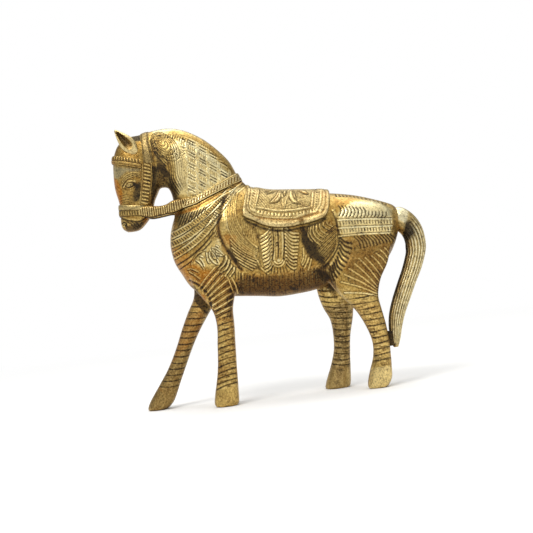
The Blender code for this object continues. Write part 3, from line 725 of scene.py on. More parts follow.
# %% Leaves on the shoulder
LEAVES = (
    [(-59.9, 100.8), (-58.2, 104), (-54.4, 107.7), (-48.3, 109.5)],
    [(-56.2, 103.3), (-53.6, 100.9), (-51.2, 96)], [(-53.2, 104.2), (-51.4, 101.4), (-50.9, 98.4)],
    [(-52.6, 105.8), (-50.8, 104.8)], [(-48.2, 107.4), (-48.2, 103.2), (-46.9, 100.1), (-45.8, 101.6)],
    [
        (-45.7, 108.7), (-46.6, 105.9), (-45.4, 102.4), (-43.2, 99.6), (-40.4, 98.4), (-41.2, 101.9),
        (-42.9, 105.9), (-45.4, 109.5),
    ],
    [(-44.4, 107.3), (-43.9, 104.3), (-42.4, 102.5), (-42.6, 104.6), (-44, 107.3)],
    [(-44, 110.6), (-41.1, 109.9), (-38.5, 107.4), (-35.9, 104.2)],
    [(-43.7, 109.3), (-41.6, 106.1), (-40.5, 103.1)], [(-41.4, 107.8), (-39, 106.2)],
    [(-40.4, 105.2), (-36.8, 103.9)], [(-40.9, 111.9), (-39.3, 110.7)], [(-43.3, 116), (-41.4, 117.5)],
    [(-62.8, 97.4), (-59.9, 97.4), (-55.6, 94.8)], [(-61.8, 95.6), (-58.7, 93.1), (-55, 89.7)],
)
for points in LEAVES:
    line_cut(points, 0.42, 0.34, 0.95)
    line_ridge(shifted(points, 0.65, 0.55), 0.4, 0.24)
tone([(-60, 101), (-54, 108), (-44, 118), (-36, 118), (-35, 104), (-40, 97), (-52, 97)], -0.12, 0.0, 2.5, 0.4)
hatch(
    [(-40, 128), (-36, 124), (-37, 116), (-43, 121), (-47, 117), (-52, 112), (-48, 117)],
    60, 1.5, 0.4, 0.18, 0.5,
)

# %% Feathers at the elbow and stripes down the foreleg
ELBOW = (
    [(-34.3, 104), (-34, 102.3), (-36.2, 98.3), (-39.9, 95.4)],
    [(-32.5, 100.8), (-33.3, 98), (-35.8, 94.5), (-39.4, 92.8)],
    [(-31.3, 96.9), (-31.5, 95.6), (-33.9, 93), (-36.4, 90.3)], [(-29.5, 95), (-30.2, 92.5), (-33.1, 89.5)],
)
for points in ELBOW:
    line_ridge(points, 0.62, 0.5)
    line_cut(shifted(points, 1.2, 0.2), 0.45, 0.3)
line_cut([(-35.6, 104.4), (-36, 102.4), (-38.2, 98.8), (-41.2, 96.2)], 0.42, 0.3, 0.9)
STRIPES = (
    [(-55.9, 84), (-49.7, 90.6), (-42.9, 97.3)], [(-53.9, 82), (-47, 88.2), (-40.6, 94)],
    [(-51.5, 79), (-44.8, 85), (-38.2, 91)],
    [(-50.3, 76.6), (-42.8, 82), (-35.5, 86.9)], [(-49.6, 73.6), (-41.7, 78.1), (-33.5, 82.4)],
    [(-47.9, 70.4), (-40.6, 74.2), (-33, 77.7)],
    [(-46.9, 67.2), (-40.3, 70.2), (-33, 73.6)], [(-46.3, 63.3), (-40.9, 65.8), (-33.2, 68.9)],
    [(-46.3, 59.6), (-40.7, 61.3), (-33.8, 64.2)],
)
for first, second in zip(STRIPES, STRIPES[1:]):
    line_ridge(first, 0.46, 0.3)
    line_cut(blended(first, second, 0.5), 0.5, 0.26, 0.8)
line_ridge([(-34.9, 88.8), (-33.5, 83.8), (-31.9, 77.3)], 0.5, 0.3)
line_ridge([(-32.1, 88.4), (-30, 82.6), (-29.2, 76.9)], 0.5, 0.3)

# %% [markdown]
# ## The barrel
#
# The swelling in front of the saddle is wrapped in long parallel threads that follow its front edge. Below
# the saddle hangs a panel with a plain middle and a feather on each side. Its barbs are thick raised strokes
# that rise from the middle and bend outwards. Upright strokes cover the belly.

# %% Threads round the front swelling
THREADS = (
    [
        (-16.8, 154.2), (-22.5, 150.2), (-26.7, 145), (-29.5, 137.2), (-30.6, 130.3), (-30.4, 123.3),
        (-28.4, 117.6), (-24.4, 111.4), (-19.6, 106.2), (-13.5, 101.6),
    ],
    [
        (-16, 153.4), (-21.4, 149.6), (-25.4, 145), (-27.9, 137.2), (-28.6, 130), (-27.6, 123.2),
        (-25, 117.2), (-21.6, 112.4), (-17, 107.6), (-12.2, 103.8),
    ],
    [
        (-15.4, 152.4), (-20.2, 149.2), (-24, 145.4), (-26.2, 137), (-26.4, 129.2), (-24.4, 121.8),
        (-21.6, 116.4), (-18.4, 112), (-14.6, 108.6), (-11.2, 105.6),
    ],
    [
        (-14.9, 151), (-18.4, 149), (-21.2, 146.4), (-23.4, 138.5), (-23.9, 132), (-22.7, 126),
        (-20.6, 120.4), (-18.1, 115.1), (-15, 111.2), (-11.4, 107.6),
    ],
)
for first, second in zip(THREADS, THREADS[1:]):
    line_ridge(first, 0.44, 0.22)
    line_ridge(blended(first, second, 0.5), 0.4, 0.18)
    line_cut(blended(first, second, 0.25), 0.3, 0.12, 0.4)
line_ridge(THREADS[-1], 0.44, 0.2)
SMALL_THREADS = (
    [(-30.5, 115), (-27, 110.2), (-21.6, 105), (-14, 99.9)],
    [(-30.2, 111.9), (-25.8, 106.8), (-20.2, 102.1), (-13.4, 98.2)],
    [(-29.9, 108.7), (-25.4, 104.2), (-19.6, 99.7), (-14, 96.3)],
    [(-29.2, 105.5), (-24.8, 101.4), (-19.3, 97.4), (-14.3, 94.2)],
    [(-27.9, 101.7), (-23.1, 98), (-19, 95), (-15.3, 92.7)],
    [(-26, 98), (-22.6, 95.2), (-19.6, 93), (-17, 91.2)],
)
for points in SMALL_THREADS:
    line_cut(points, 0.42, 0.22, 0.8)
    line_ridge(shifted(points, 0.5, 0.75), 0.36, 0.2)
for k in range(9):
    x = -20.6 + 1.42 * k
    line_cut([(x - 0.3, 129.0 - 0.9 * k), (x, 122.0 - 0.3 * k), (x + 0.4, 117.2 - 0.85 * k)], 0.3, 0.14, 0.5)

# %% The panel below the saddle
for k in range(11):
    z = 119.6 - 2.52 * k
    right = -1.2 - 0.10 * k
    barb = [
        (right, z), (right - 1.5, z - 2.3), (right - 3.8, z - 3.9),
        (right - 7.4 + 0.2 * k, z - 5.4 + 0.1 * k),
    ]
    line_ridge(barb, 0.66, 0.55)
    line_cut(shifted(barb, 0.1, -1.28), 0.55, 0.4, 0.72)
for k in range(11):
    z = 119.4 - 2.5 * k
    left = 10.0 - 0.22 * k
    barb = [
        (left, z), (left + 2.0, z - 3.0), (left + 4.6, z - 5.0), (left + 8.8 - 0.28 * k, z - 5.7 + 0.1 * k),
    ]
    line_ridge(barb, 0.68, 0.6)
    line_cut(shifted(barb, -0.1, -1.25), 0.55, 0.42, 0.72)
cells, into = inside_of([(0, 120), (9.4, 120), (7, 96), (4.6, 93.4), (0, 93.6), (-1.8, 96)])
rise[cells] = rise[cells] * (1 - soft(into, 0, 0.8)) + 0.25 * soft(into, 0, 0.8)
dark[cells] *= 1 - soft(into, 0, 0.6)
for points, width, depth, shade in (
    ([(0.9, 119.5), (0.4, 107.7), (-2, 97)], 0.5, 0.35, 0.9),
    ([(4.6, 118.5), (3.6, 107), (2.3, 98.3)], 0.5, 0.35, 0.9),
    ([(8.9, 119.5), (7.8, 107), (6, 96.8)], 0.5, 0.35, 0.9),
    ([(2.4, 118.5), (1.8, 108), (0.4, 98)], 0.35, 0.15, 0.4),
    ([(6.6, 118.5), (5.7, 108), (4.2, 98)], 0.35, 0.15, 0.4),
):
    line_cut(points, width, depth, shade)
line_ridge([(-1.9, 95.4), (-0.6, 93.3), (2, 92.1), (4.8, 93.1), (6.6, 95.4)], 0.55, 0.42)
line_ridge([(-0.4, 96.2), (0.9, 94.7), (2.6, 94.2), (4.3, 94.9), (5.4, 96.4)], 0.45, 0.28)
swell(2.6, 96.4, 0.9, 1.1, 0.9)
line_cut([(3.2, 108.6), (2.6, 109.2), (1.9, 108.6), (2, 107.6), (2.8, 107.2), (3.3, 107.9)], 0.35, 0.3)
for k in range(6):
    line_cut([(-3.0 + 2.0 * k, 92.0 - 0.4 * abs(k - 2.5)), (-4.2 + 2.4 * k, 87.4)], 0.4, 0.2, 0.7)
line_ridge([(-12.4, 98), (-10.8, 93.2), (-8.2, 90), (-6, 88)], 0.5, 0.35)

# %% Strokes on the belly
rng = np.random.default_rng(7)
for x in np.arange(-26, 42, 1.45):
    top = 90.0 - 3.5 * soft(x, -24, -6) + 2.5 * soft(x, 8, 20) + rng.uniform(-2.5, 2)
    start, lean = x + rng.uniform(-0.5, 0.5), -1.2 + 0.4 * soft(x, 10, 40) + rng.uniform(-0.3, 0.3)
    low = max(top - rng.uniform(6, 13), 70.0)
    upper = [(start, top), (start + lean * (top - low) / 14, low)]
    line_cut(upper, rng.uniform(0.3, 0.5), 0.22, rng.uniform(0.35, 0.9))
    gap = rng.uniform(0.8, 2.4)
    lower = [(start + lean * 0.8, low - gap), (start + lean, max(low - gap - rng.uniform(3, 7), 66.0))]
    line_cut(lower, rng.uniform(0.3, 0.5), 0.2, rng.uniform(0.3, 0.8))
for k in range(8):
    x = -29.0 + 2.0 * k
    line_cut([(x, 92.4 - 0.8 * k), (x - 0.6, 86.9 - 0.7 * k)], 0.42, 0.26, 0.7)
line_cut([(-29.2, 84.3), (-26.8, 76.6)], 0.6, 0.35)
line_cut([(-27, 82.3), (-25.2, 76)], 0.6, 0.35)

# %% The swelling behind the saddle
FAN_LEFT = (
    [(26.2, 117.5), (24.7, 111.1), (27, 106.8)], [(27.6, 118), (26.2, 112.5), (29, 107), (32.2, 103.8)],
    [(29.5, 118.4), (28.5, 113.8), (30.4, 109.2), (34, 106)],
    [(31.5, 118.6), (30.7, 114.3), (32.6, 110.9), (35.9, 108.1)],
    [(33.8, 118.8), (33.6, 115.2), (35.2, 112.6), (38.2, 110.6)],
    [(36.4, 119.2), (36.6, 116.4), (39.9, 113.6)], [(38.8, 119.4), (39.6, 117.4), (42.4, 115.8)],
)
FAN_RIGHT = (
    [(45, 116), (38.9, 112), (32.6, 108.1), (27.6, 104)],
    [(45.4, 113.8), (39.4, 109.8), (33.3, 105.9), (28.5, 101.8)],
    [(45.4, 111.3), (39.7, 107.2), (34.2, 103.2), (29.6, 99.3)],
    [(45.2, 108.7), (40, 104.6), (34.8, 100.3), (30.9, 96.8)],
    [(44.9, 106), (40.4, 101.8), (35.9, 97.8), (32, 94.3)],
    [(44.4, 103.1), (40.1, 98.8), (36.2, 95.4), (33.1, 92.2)],
    [(43.4, 100), (39.9, 96.5), (36.4, 93), (33.9, 90.3)],
    [(41.6, 97), (38.8, 94), (36.4, 91.2), (34.6, 88.9)],
)
for first, second in zip(FAN_RIGHT, FAN_RIGHT[1:]):
    line_cut(first, 0.36, 0.22, 0.8)
    line_cut(blended(first, second, 0.5), 0.32, 0.16, 0.6)
for points in FAN_LEFT:
    line_cut(points, 0.4, 0.26, 0.85)
    line_ridge(shifted(points, 0.85, 0), 0.4, 0.25)
for points in (
    [(20.9, 102.8), (20.5, 97.3), (18.4, 92)], [(22.4, 97.9), (21, 94.1), (18.9, 91.2)],
    [(24, 95.7), (22.3, 92.3), (19.9, 88.9)],
    [(25.6, 94.3), (24.1, 90.5), (22.3, 86.7)],
):
    line_ridge(points, 0.5, 0.35)
stripe([(45.2, 128), (46.9, 119), (47.6, 111), (46.8, 104.5), (44, 98.6), (40.4, 93.4)], -0.9, 1.1, 0.3)
line_cut([(44.6, 126), (46.3, 119), (46.6, 112), (46, 106.7)], 0.45, 0.2, 0.7)
for k in range(7):
    line_cut([(22.0 + 2.4 * k, 87.0 + 0.3 * k), (21.0 + 2.7 * k, 78.0)], 0.42, 0.24, 0.6)

# %% [markdown]
# ## The croup and the thigh
#
# On the croup, two rows of ticks between border lines run back to the tail. Over them stands a row of short
# bent strokes, and under them a row of deep leaf cuts that turns down along the flank. The thigh is plain,
# apart from a fan of thin raised ribs that meet at the hock.

# %% Borders and rows on the croup
CROUP = (
    [(47.5, 120.6), (60, 119.7), (73, 118.5), (86, 117)],
    [(47.3, 114.9), (60, 114.2), (73, 113.1), (86, 112)], [(47, 109.2), (60, 108.9), (73, 108), (86, 106.8)],
)
for points in CROUP:
    line_cut(points, 0.34, 0.2, 0.62)
    line_ridge(shifted(points, 0, -1), 0.45, 0.2)
for points, low in zip(CROUP, (-4.4, -4.2)):
    ticks(points, low, -1.4, spacing=2.1, lean=0.15, share=0.35, depth=0.22, shade=0.6)
for k in range(14):
    x = 49.9 + 2.46 * k
    if k < 8:
        z = 129.7 - 0.2 * (x - 50)
        line_cut(
            [(x - 0.3, z), (x + 0.7, z - 1.8), (x + 0.9, z - 3.6), (x + 0.3, z - 5.4), (x - 0.9, z - 7.0)],
            0.56, 0.36, 0.8,
        )
    else:
        z = 127.0 - 0.16 * (x - 50)
        line_cut([(x + 0.8, z - 0.6), (x + 0.5, z - 2.6), (x - 0.9, z - 4.4)], 0.52, 0.36, 0.75)
hatch(
    [(47, 136.5), (60, 134.6), (75, 129.8), (84, 126), (84, 129), (74, 134), (60, 138.5), (47, 141)],
    118, 2.0, 0.5, 0.4, 0.8,
)
tone([(48, 131), (60, 130), (74, 126), (84, 122), (85, 107), (60, 108), (48, 109)], 0.0, -0.02, 2)

# %% Leaf cuts along the flank and under the croup
FLANK = (
    ((47.9, 107.1), (51.2, 103.5), (55.6, 102.1)), ((47.6, 104.8), (50.6, 100.9), (55, 98.6)),
    ((47.1, 102.3), (49.4, 97.8), (53.4, 95)),
    ((46.4, 99.8), (48.4, 94.8), (51.9, 91.4)), ((45.2, 97), (47, 92.2), (50.1, 88.9)),
    ((44, 94.2), (45.3, 89.3), (48.2, 86.4)),
    ((42.6, 92), (43.6, 87), (46.1, 83.9)), ((41.2, 89.9), (41.9, 85.3), (44.1, 81.6)),
    ((39.8, 88), (40.2, 83.4), (42, 79.6)),
    ((38.2, 87.6), (38.3, 82.4), (39.6, 77.6)),
)
for points in FLANK:
    line_cut(points, 0.72, 0.45, 1.0)
for k in range(12):
    x, z = 57.6 + 2.38 * k, 106.6 - 0.1 * k
    line_cut([(x, z), (x + 2.9, z - 3.6), (x + 3.9, z - 8.6 + 0.3 * k)], 0.52, 0.36, 0.85)
# A painted shadow of the saddle's lip on the body just below it: a soft dark line with a shallow dip.
SADDLE_LIP_SHADOW = [
    (-18, 128.6), (-15.3, 125.8), (-11, 123.5), (-5.6, 120.4), (1, 118.1), (7, 117.1), (14, 116.7),
    (18.6, 117.4), (25.2, 117.8), (31, 118.8), (35.4, 119.9), (39.2, 122.2),
]
line_cut(SADDLE_LIP_SHADOW, 1.3, 0.2, 0.6)

# %% The fan on the thigh
HOCK_FAN = (
    ((46.1, 68), (69.6, 63.1)), ((44.5, 76), (69.1, 64.5)), ((47.7, 80.8), (68.7, 66.5)),
    ((51.4, 84.5), (69.2, 67.7)), ((56, 87.2), (69.7, 69.6)), ((59.4, 90.5), (71.4, 72.7)),
    ((63.8, 90.6), (73.2, 76.3)), ((68.5, 91.4), (75.1, 81.3)), ((71.8, 92.9), (78.1, 84.8)),
    ((75, 95.1), (79.9, 87.2)), ((78.3, 96.2), (81.4, 89.6)),
)
for (ax, az), (bx, bz) in HOCK_FAN:
    rib = [(ax, az), ((ax + bx) / 2 + 0.28, (az + bz) / 2 + 0.7), (bx, bz)]
    line_ridge(rib, 0.48, 0.4)
    line_cut(shifted(rib, -0.4, -0.8), 0.4, 0.18, 0.5)
print("sheet so far:", round(rise.min(), 2), "to", round(rise.max(), 2), "mm")

# %% [markdown]
# ## The neck
#
# The neck is covered with a basket weave. Its unit is two short dark strokes that lean down and back, then
# a block of fine upright strokes between two thin ribs. The units stand in columns, each column half a unit
# lower than the last. The crest is a plain pale rim. The collar strap is laid on later, so the sheet only
# has the groove below it and a few threads that leave the withers beside it.

# %% Lattice, crest and collar groove
LATTICE = [
    (-57, 148), (-56, 158), (-54.5, 170), (-55.5, 182), (-58, 191.5), (-49.5, 190.2), (-40.2, 184.6),
    (-31, 175.4), (-24.3, 167.2), (-20.6, 160.4), (-31, 155.5), (-40, 151.6), (-50, 147.6),
]
COLUMN_PITCH, COLUMN_DROP, UNIT, STROKE_LEAN = 7.65, 4.65, 8.2, 0.55
cells, into = inside_of(LATTICE)
u, w = turned(across[cells] + 39.08, upwards[cells] + 2.25, -7)
u, w = u + 32.4, 170 - w
column = np.round(u / COLUMN_PITCH)
u, w = u - COLUMN_PITCH * column, w - COLUMN_DROP * column
w = (w + UNIT / 2) % UNIT - UNIT / 2 - STROKE_LEAN * u
stroke = sum(bell(w - at, 0.5) for at in (-0.98, 0.98)) * (1 - soft(np.abs(u), 2.1, 3.0))
rim = sum(bell(w - at, 0.35) for at in (-2.1, 0, 2.1)) * (1 - soft(np.abs(u), 2.6, 3.4))
fine = soft(-np.cos(2 * np.pi * u / 1.5), 0.1, 0.8)
fine = fine * soft(np.abs(w), 2.1, 2.5) * (1 - soft(np.abs(u), 2.6, 3.0))
rib = bell(np.abs(u) - 3.4, 0.35) * soft(np.abs(w), 1.6, 2.2)
inside = soft(into, 0, 0.8)
shade = np.maximum(0.8 * stroke, 0.42 * fine)
lay(cells, (-0.36 * stroke - 0.2 * fine + 0.22 * rib + 0.22 * rim) * inside, shade * inside)
CREST = [
    (-76, 197.2), (-63, 197), (-51.5, 193.6), (-40.6, 186.4), (-31.6, 177.4), (-25, 168.6), (-20.6, 160.6),
]
line_cut(shifted(CREST, 0, -2.2), 0.4, 0.2, 0.35)
for k in range(12):
    t = k / 25
    x, z = -66 + 42 * t, 197.4 - 5.5 * t - 28 * t * t
    line_cut([(x, z - 2.4), (x - 1.0, z - 4.6)], 0.5, 0.2, 0.6)
# The crest is made paler by the fourth number: wear, and a painted highlight along the top of the neck.
tone([(-76, 194), (-76, 200), (-60, 199), (-60, 196)], 0.2, 0.0, 1.5, 0.3)
tone([*CREST, (-16, 161), (-28, 178), (-44, 194), (-62, 201), (-78, 201)], 0.0, 0.0, 2, 0.4)
tone([(-64, 194), (-50, 191), (-38, 180), (-36, 172), (-56, 178), (-66, 186)], -0.3, 0.0, 4)
trough(
    [(-66, 137.6), (-50, 141), (-40, 145.2), (-30, 149.4), (-20, 153.6), (-14.6, 156.2)],
    1.0, 0.5, 0.35, 0.9,
)
line_ridge([(-15.2, 155.4), (-25, 151.4), (-36, 146.8), (-48, 141.6)], 0.5, 0.26)
line_ridge([(-15.6, 154.8), (-25, 150), (-34, 145.6), (-44, 140.6)], 0.5, 0.26)

# %% The curled lock behind the cheek
LOCK, LOCK_TURN = (-68.3, 187.6), 52
for k in range(7):
    long, short = 12.6 - 1.85 * k, 7.3 - 1.08 * k
    oval = []
    for angle in np.radians(np.arange(0, 361, 20)):
        oval.append(turned(long * math.cos(angle) + 0.45 * (long - 9.4), short * math.sin(angle), LOCK_TURN))
    line_cut(shifted(oval, *LOCK), 0.36, 0.24, 0.7)
SWEEP = [(-76.4, 193.4), (-74.7, 184.5), (-70.1, 177.6), (-67.2, 173.6)]
STRAND = [(-61.6, 185.3), (-60.9, 174.8), (-61.2, 165.4), (-58.4, 156.3)]
for k in range(3):
    line_cut(shifted(SWEEP, 1.2 * k - 1.4, 0.9 * k - 1), 0.38, 0.26, 0.8)
for k in range(-3, 5):
    *upper, (x, z) = shifted(STRAND, -1.5 * k, -1.2 * abs(k))
    line_cut([*upper, (x + 0.5 * k, z)], 0.36, 0.22, 0.7 if k >= 0 else 0.5)
# Painted shade: a band behind the cheek strap down to the throat, and the throat under the jaw.
tone([(-77, 187), (-73.5, 184), (-69.5, 175), (-66, 166), (-70, 164), (-75.5, 172)], 0.2, 0.5, 1.6)
tone([(-83, 172), (-80, 177), (-68, 174), (-61, 160), (-60, 146), (-70, 144), (-84, 146)], 0.1, 0.5, 4)
trough([(-76.4, 191), (-76.8, 182), (-77, 174), (-78.2, 166), (-79.6, 158)], 1.0, 0.4, 0.4)
for k in range(6):
    x, z = -75.0 + 1.2 * k, 168.0 - 1.8 * k
    line_cut([(x, z), (x + 2.8, z - 2.6), (x + 4.0, z - 6.4)], 0.4, 0.2, 0.6)

# %% [markdown]
# ## The legs
#
# All four legs carry rings: dark cuts right round, about four millimetres apart, each of its own depth and
# darkness. The cuts tilt and bend a little, as a hand makes them. Short fine cuts lie between the rings on
# three of the legs. The hooves are plain.

# %% Rings round the legs
RING_DEPTH = 0.3


def leg_rings(front, back, heights, sag, lean, seed):
    """Cuts across a leg between two edge curves of height, each sagging by sag in the middle and leaning."""
    rng = np.random.default_rng(seed)
    for z in heights:
        left, right = front(z) - 1.5, back(z) + 1.5
        tilt = lean * (right - left) + rng.uniform(-0.45, 0.45)
        middle, strength = (left + right) / 2, rng.uniform(0.4, 1)
        ring = spline([(left, z - tilt / 2), (middle, z - sag + rng.uniform(-0.3, 0.3)), (right, z + tilt / 2)])
        depth, shade = RING_DEPTH * (0.5 + 0.5 * strength), 0.3 + 0.45 * strength
        line_cut(ring, 0.3 + 0.3 * strength, depth, shade, smooth=False)
        first = rng.integers(0, 8)
        line_cut(ring[first : first + rng.integers(5, 9)], 0.4, 0.5 * RING_DEPTH, 1.0, smooth=False)


def edges(sections):
    """Two curves, front and back, that give x at a height, from a table of sections."""
    return curve(*((row[1], row[0]) for row in sections)), curve(*((row[3], row[2]) for row in sections))


far_front, far_back = edges(FAR_FORELEG)
hind_front, hind_back = edges(FAR_HIND_LEG)
for front, back, heights, sag, lean, seed in (
    (
        *edges(NEAR_FORELEG),
        (67.5, 63.8, 60.4, 56.6, 52.4, 48.6, 44.2, 40.2, 36, 31.6, 27.4, 23.2, 19.4, 15.8, 12.4),
        -0.5, 0.2, 1,
    ),
    (far_front, lambda z: min(far_back(z), -58.5), (83, 79, 75.2, 71, 66.8), 0.5, -0.05, 6),
    (
        far_front, far_back, (62.4, 58, 53.4, 49.2, 44.8, 40.4, 36.2, 31.8, 27.6, 23.4, 19.4, 15.6), 0.5,
        -0.05, 2,
    ),
    (*edges(NEAR_HIND_LEG), (63.5, 59.4, 55.2, 51.2, 47, 43, 38.6, 34.4, 30.2, 26, 21.8, 17.8), 0.6, 0.06, 3),
    (
        hind_front, lambda z: min(hind_back(z), 38.5 + 0.84 * (67.9 - z)), (71, 66.6, 62.4, 58.2), 0.5, -0.16,
        7,
    ),
    (hind_front, hind_back, (54, 49.8, 45.4, 41.2, 36.8, 32.6, 28.4, 24.2, 20, 16.4), 0.5, -0.14, 4),
):
    leg_rings(front, back, heights, sag, lean, seed)
for sections in (NEAR_FORELEG, NEAR_HIND_LEG, FAR_HIND_LEG):
    front, back = edges(sections)
    rng = np.random.default_rng(len(sections) + 5)
    for z in np.arange(12, 62, 1.05):
        left = rng.uniform(front(z), back(z) - 3)
        line_cut(
            [(left, z), (min(left + rng.uniform(2.5, 7), back(z)), z + rng.uniform(-0.4, 0.4))],
            0.35, 0.16, 0.5,
        )
tone([(48, 62), (70, 62), (72, 20), (56, 20)], 0.35, 0.0, 3)
for left, right, paled in ((-58, -30, 0.22), (-112, -82, 0.12), (47, 78, 0.55), (18, 47, 0.35)):
    tone([(left, 14), (right, 14), (right, -6), (left, -6)], 0.0, 0.0, 2, paled)
tone([(-75, 80), (-50, 80), (-60, 50), (-95, 20), (-90, 10), (-98, 14), (-80, 50)], 0.55, 0.1, 2)

# %% [markdown]
# ## The head
#
# The face is quieter than the body. A brow of three arcs stands over the eye, the eye is a dark oval under a
# bright lid, and a groove marks the jaw. The muzzle has a nostril, a lip line and a soft fold at the mouth.
# The metal on the forehead, beside the eye and on the cheek is smooth, dull and slightly grey, and beside the
# eye it is also darkened as painted shade.

# %% Brow, eye, jaw and muzzle
for k in range(3):
    arc = [
        (-101.4 + 0.4 * k, 163.2 + 2.0 * k), (-98.4, 166.6 + 1.4 * k), (-94.4, 168.2 + 1.3 * k),
        (-90.6, 168.6 + 1.1 * k), (-88.2, 167.8 + 1.1 * k),
    ]
    line_ridge(arc, 0.36, 0.28)
    line_cut(shifted(arc, 0, -0.8), 0.36, 0.2, 0.6)
trough([(-100.8, 160.6), (-97.8, 160), (-94.6, 160.8), (-92, 162.6)], 0.9, 0.35, 0.45)
EYE = (-96.2, 162.6)
cells = window(np.array([EYE]), 7)
u, v = turned(across[cells] - EYE[0], upwards[cells] - EYE[1], 12)
socket = np.exp(-(((u / 4.8) ** 2 + (v / 3.0) ** 2) ** 2))
ball = np.exp(-(((u / 2.7) ** 2 + (v / 1.45) ** 2) ** 2))
lay(cells, -0.35 * socket + 0.75 * ball, np.maximum(0.95 * socket * (1 - ball), 0.4 * ball))
line_ridge([(-100.4, 161.4), (-98.2, 164.2), (-95.2, 165.2), (-91.8, 164.6)], 0.55, 0.5)
line_ridge([(-99.4, 160.8), (-96.6, 159.8), (-93.2, 160.8)], 0.4, 0.3)
# Painted shade behind and below the eye, beside the cheek strap.
tone([(-93, 163), (-87, 167), (-86, 150), (-97, 148), (-96, 156)], -0.15, 0.42, 3)
tone([(-108, 179), (-86, 174), (-86, 170), (-97, 170.5), (-104, 165.5), (-108, 167)], -0.85, 0.0, 3)
tone([(-92, 198), (-84, 199), (-83, 192), (-90, 192)], -0.8, 0.5, 1.5)
tone([(-109, 172), (-103.5, 168), (-101, 158), (-102.5, 149), (-109, 149)], 1.4, 0.0, 2)
trough([(-77.4, 173), (-79.2, 165.5), (-80.8, 156), (-84, 150)], 0.8, 0.45, 0.6)
trough([(-104.6, 139.6), (-99, 137.2), (-92.2, 136), (-87.5, 137.6)], 0.55, 0.5, 0.9)
for k in range(3):
    line_cut([(-101.6 + 2.4 * k, 137.0), (-98.0 + 2.2 * k, 134.6), (-95.6 + 2.0 * k, 131.2)], 0.5, 0.3, 0.7)
swell(-103, 134.6, 1.9, 1.5, 0.5)
line_cut([(-104.6, 135.8), (-103.2, 136.6), (-101.6, 135.4), (-101.8, 133.2)], 0.5, 0.4, 0.95)
line_cut([(-103.8, 134.6), (-102.8, 135), (-102.4, 133.8)], 0.4, 0.4, 0.95)
tone([(-104, 134), (-96, 136), (-88, 137), (-88, 128), (-103, 127)], 0.5, 0.4, 2, 0.15)
tone([(-91, 138), (-86, 139), (-85, 134), (-90, 133)], 0.9, 0.1, 1.2)
for k in range(5):
    line_cut([(-91.5 + 1.5 * k, 157.5 - 1.1 * k), (-89.8 + 1.5 * k, 152.0 - 0.5 * k)], 0.4, 0.2, 0.6)
for k in range(6):
    line_cut([(-103.5, 155.4 - 1.7 * k), (-98.8, 156.0 - 1.7 * k), (-95.6, 154.4 - 1.7 * k)], 0.4, 0.18, 0.5)
print("finished sheet, mm:", round(rise.min(), 2), "to", round(rise.max(), 2))
print("share of dark cells:", round(float((dark > 0.5).mean()), 3))

# %% [markdown]
# ## Brass
#
# One recipe serves every piece, with its own settings for each slot. It reads three numbers that each point
# of the mesh keeps: `dark`, the patina left in the cuts and, in some areas, painted shade; `warm`, the lean
# of the colour; and a third, how much a high spot has been polished by hands, which also carries painted
# highlights on faces that turn up, on the neck and the croup, and at the tail's root. Noise in the object's
# own coordinates adds slow changes of colour and a fine grain.

# %% Shader maths as expressions
class Socket:
    """A node's output that can be added, multiplied and so on, as a number can."""

    def __init__(self, tree, output):
        self.tree, self.output = tree, output

    def maths(self, operation, *others, swapped=False):
        """A Math node of this operation on this socket and the others, or on the others and this one."""
        values = (*others, self) if swapped else (self, *others)
        node = self.tree.nodes.new("ShaderNodeMath")
        node.operation = operation
        for slot, value in zip(node.inputs, values):
            plug(self.tree, slot, value)
        return Socket(self.tree, node.outputs[0])

    def __add__(self, other):
        return self.maths("ADD", other)

    def __sub__(self, other):
        return self.maths("SUBTRACT", other)

    def __rsub__(self, other):
        return self.maths("SUBTRACT", other, swapped=True)

    def __mul__(self, other):
        return self.maths("MULTIPLY", other)

    def __truediv__(self, other):
        return self.maths("DIVIDE", other)

    __radd__, __rmul__ = __add__, __mul__

    def clamped(self, low=0.0, high=1.0):
        """The value held between two limits."""
        return self.maths("MAXIMUM", low).maths("MINIMUM", high)

    def between(self, low, high):
        """0 where the value is low, 1 where it is high, in a straight line between."""
        return ((self - low) / (high - low)).clamped()


def plug(tree, slot, value):
    """Links a socket into a slot, or writes a plain value there."""
    if isinstance(value, Socket):
        tree.links.new(value.output, slot)
    else:
        slot.default_value = value


class Tree:
    """The node tree of a material or a world, written top down."""

    def __init__(self, owner):
        owner.use_nodes = True
        self.tree = owner.node_tree
        self.tree.nodes.clear()

    def add(self, kind, output=0, settings=None, **inputs):
        """A node of this type with these settings and inputs; gives the chosen output as a Socket."""
        node = self.tree.nodes.new(kind)
        for key, value in (settings or {}).items():
            setattr(node, key, value)
        for key, value in inputs.items():
            plug(self.tree, node.inputs[key.replace("_", " ")], value)
        return Socket(self.tree, node.outputs[output])

    def end(self, kind, shader):
        """The output node, with this shader as its surface."""
        plug(self.tree, self.tree.nodes.new(kind).inputs["Surface"], shader)

    def mix(self, share, first, second):
        """The colour that lies this share of the way from the first to the second."""
        node = self.tree.nodes.new("ShaderNodeMix")
        node.data_type = "RGBA"
        for slot, value in ((node.inputs[0], share), (node.inputs[6], first), (node.inputs[7], second)):
            plug(self.tree, slot, value)
        return Socket(self.tree, node.outputs[2])

    def blend(self, share, first, second):
        """The shader that lies this share of the way from the first to the second."""
        node = self.tree.nodes.new("ShaderNodeMixShader")
        for slot, value in zip(node.inputs, (share, first, second)):
            plug(self.tree, slot, value)
        return Socket(self.tree, node.outputs[0])


# %% The four brasses
# The darkest colour serves the patina in the cuts and also painted shade.
ORANGE, GREY, PATINA_AND_SHADE = (0.46, 0.165, 0.012, 1), (0.33, 0.31, 0.195, 1), (0.031, 0.024, 0.017, 1)


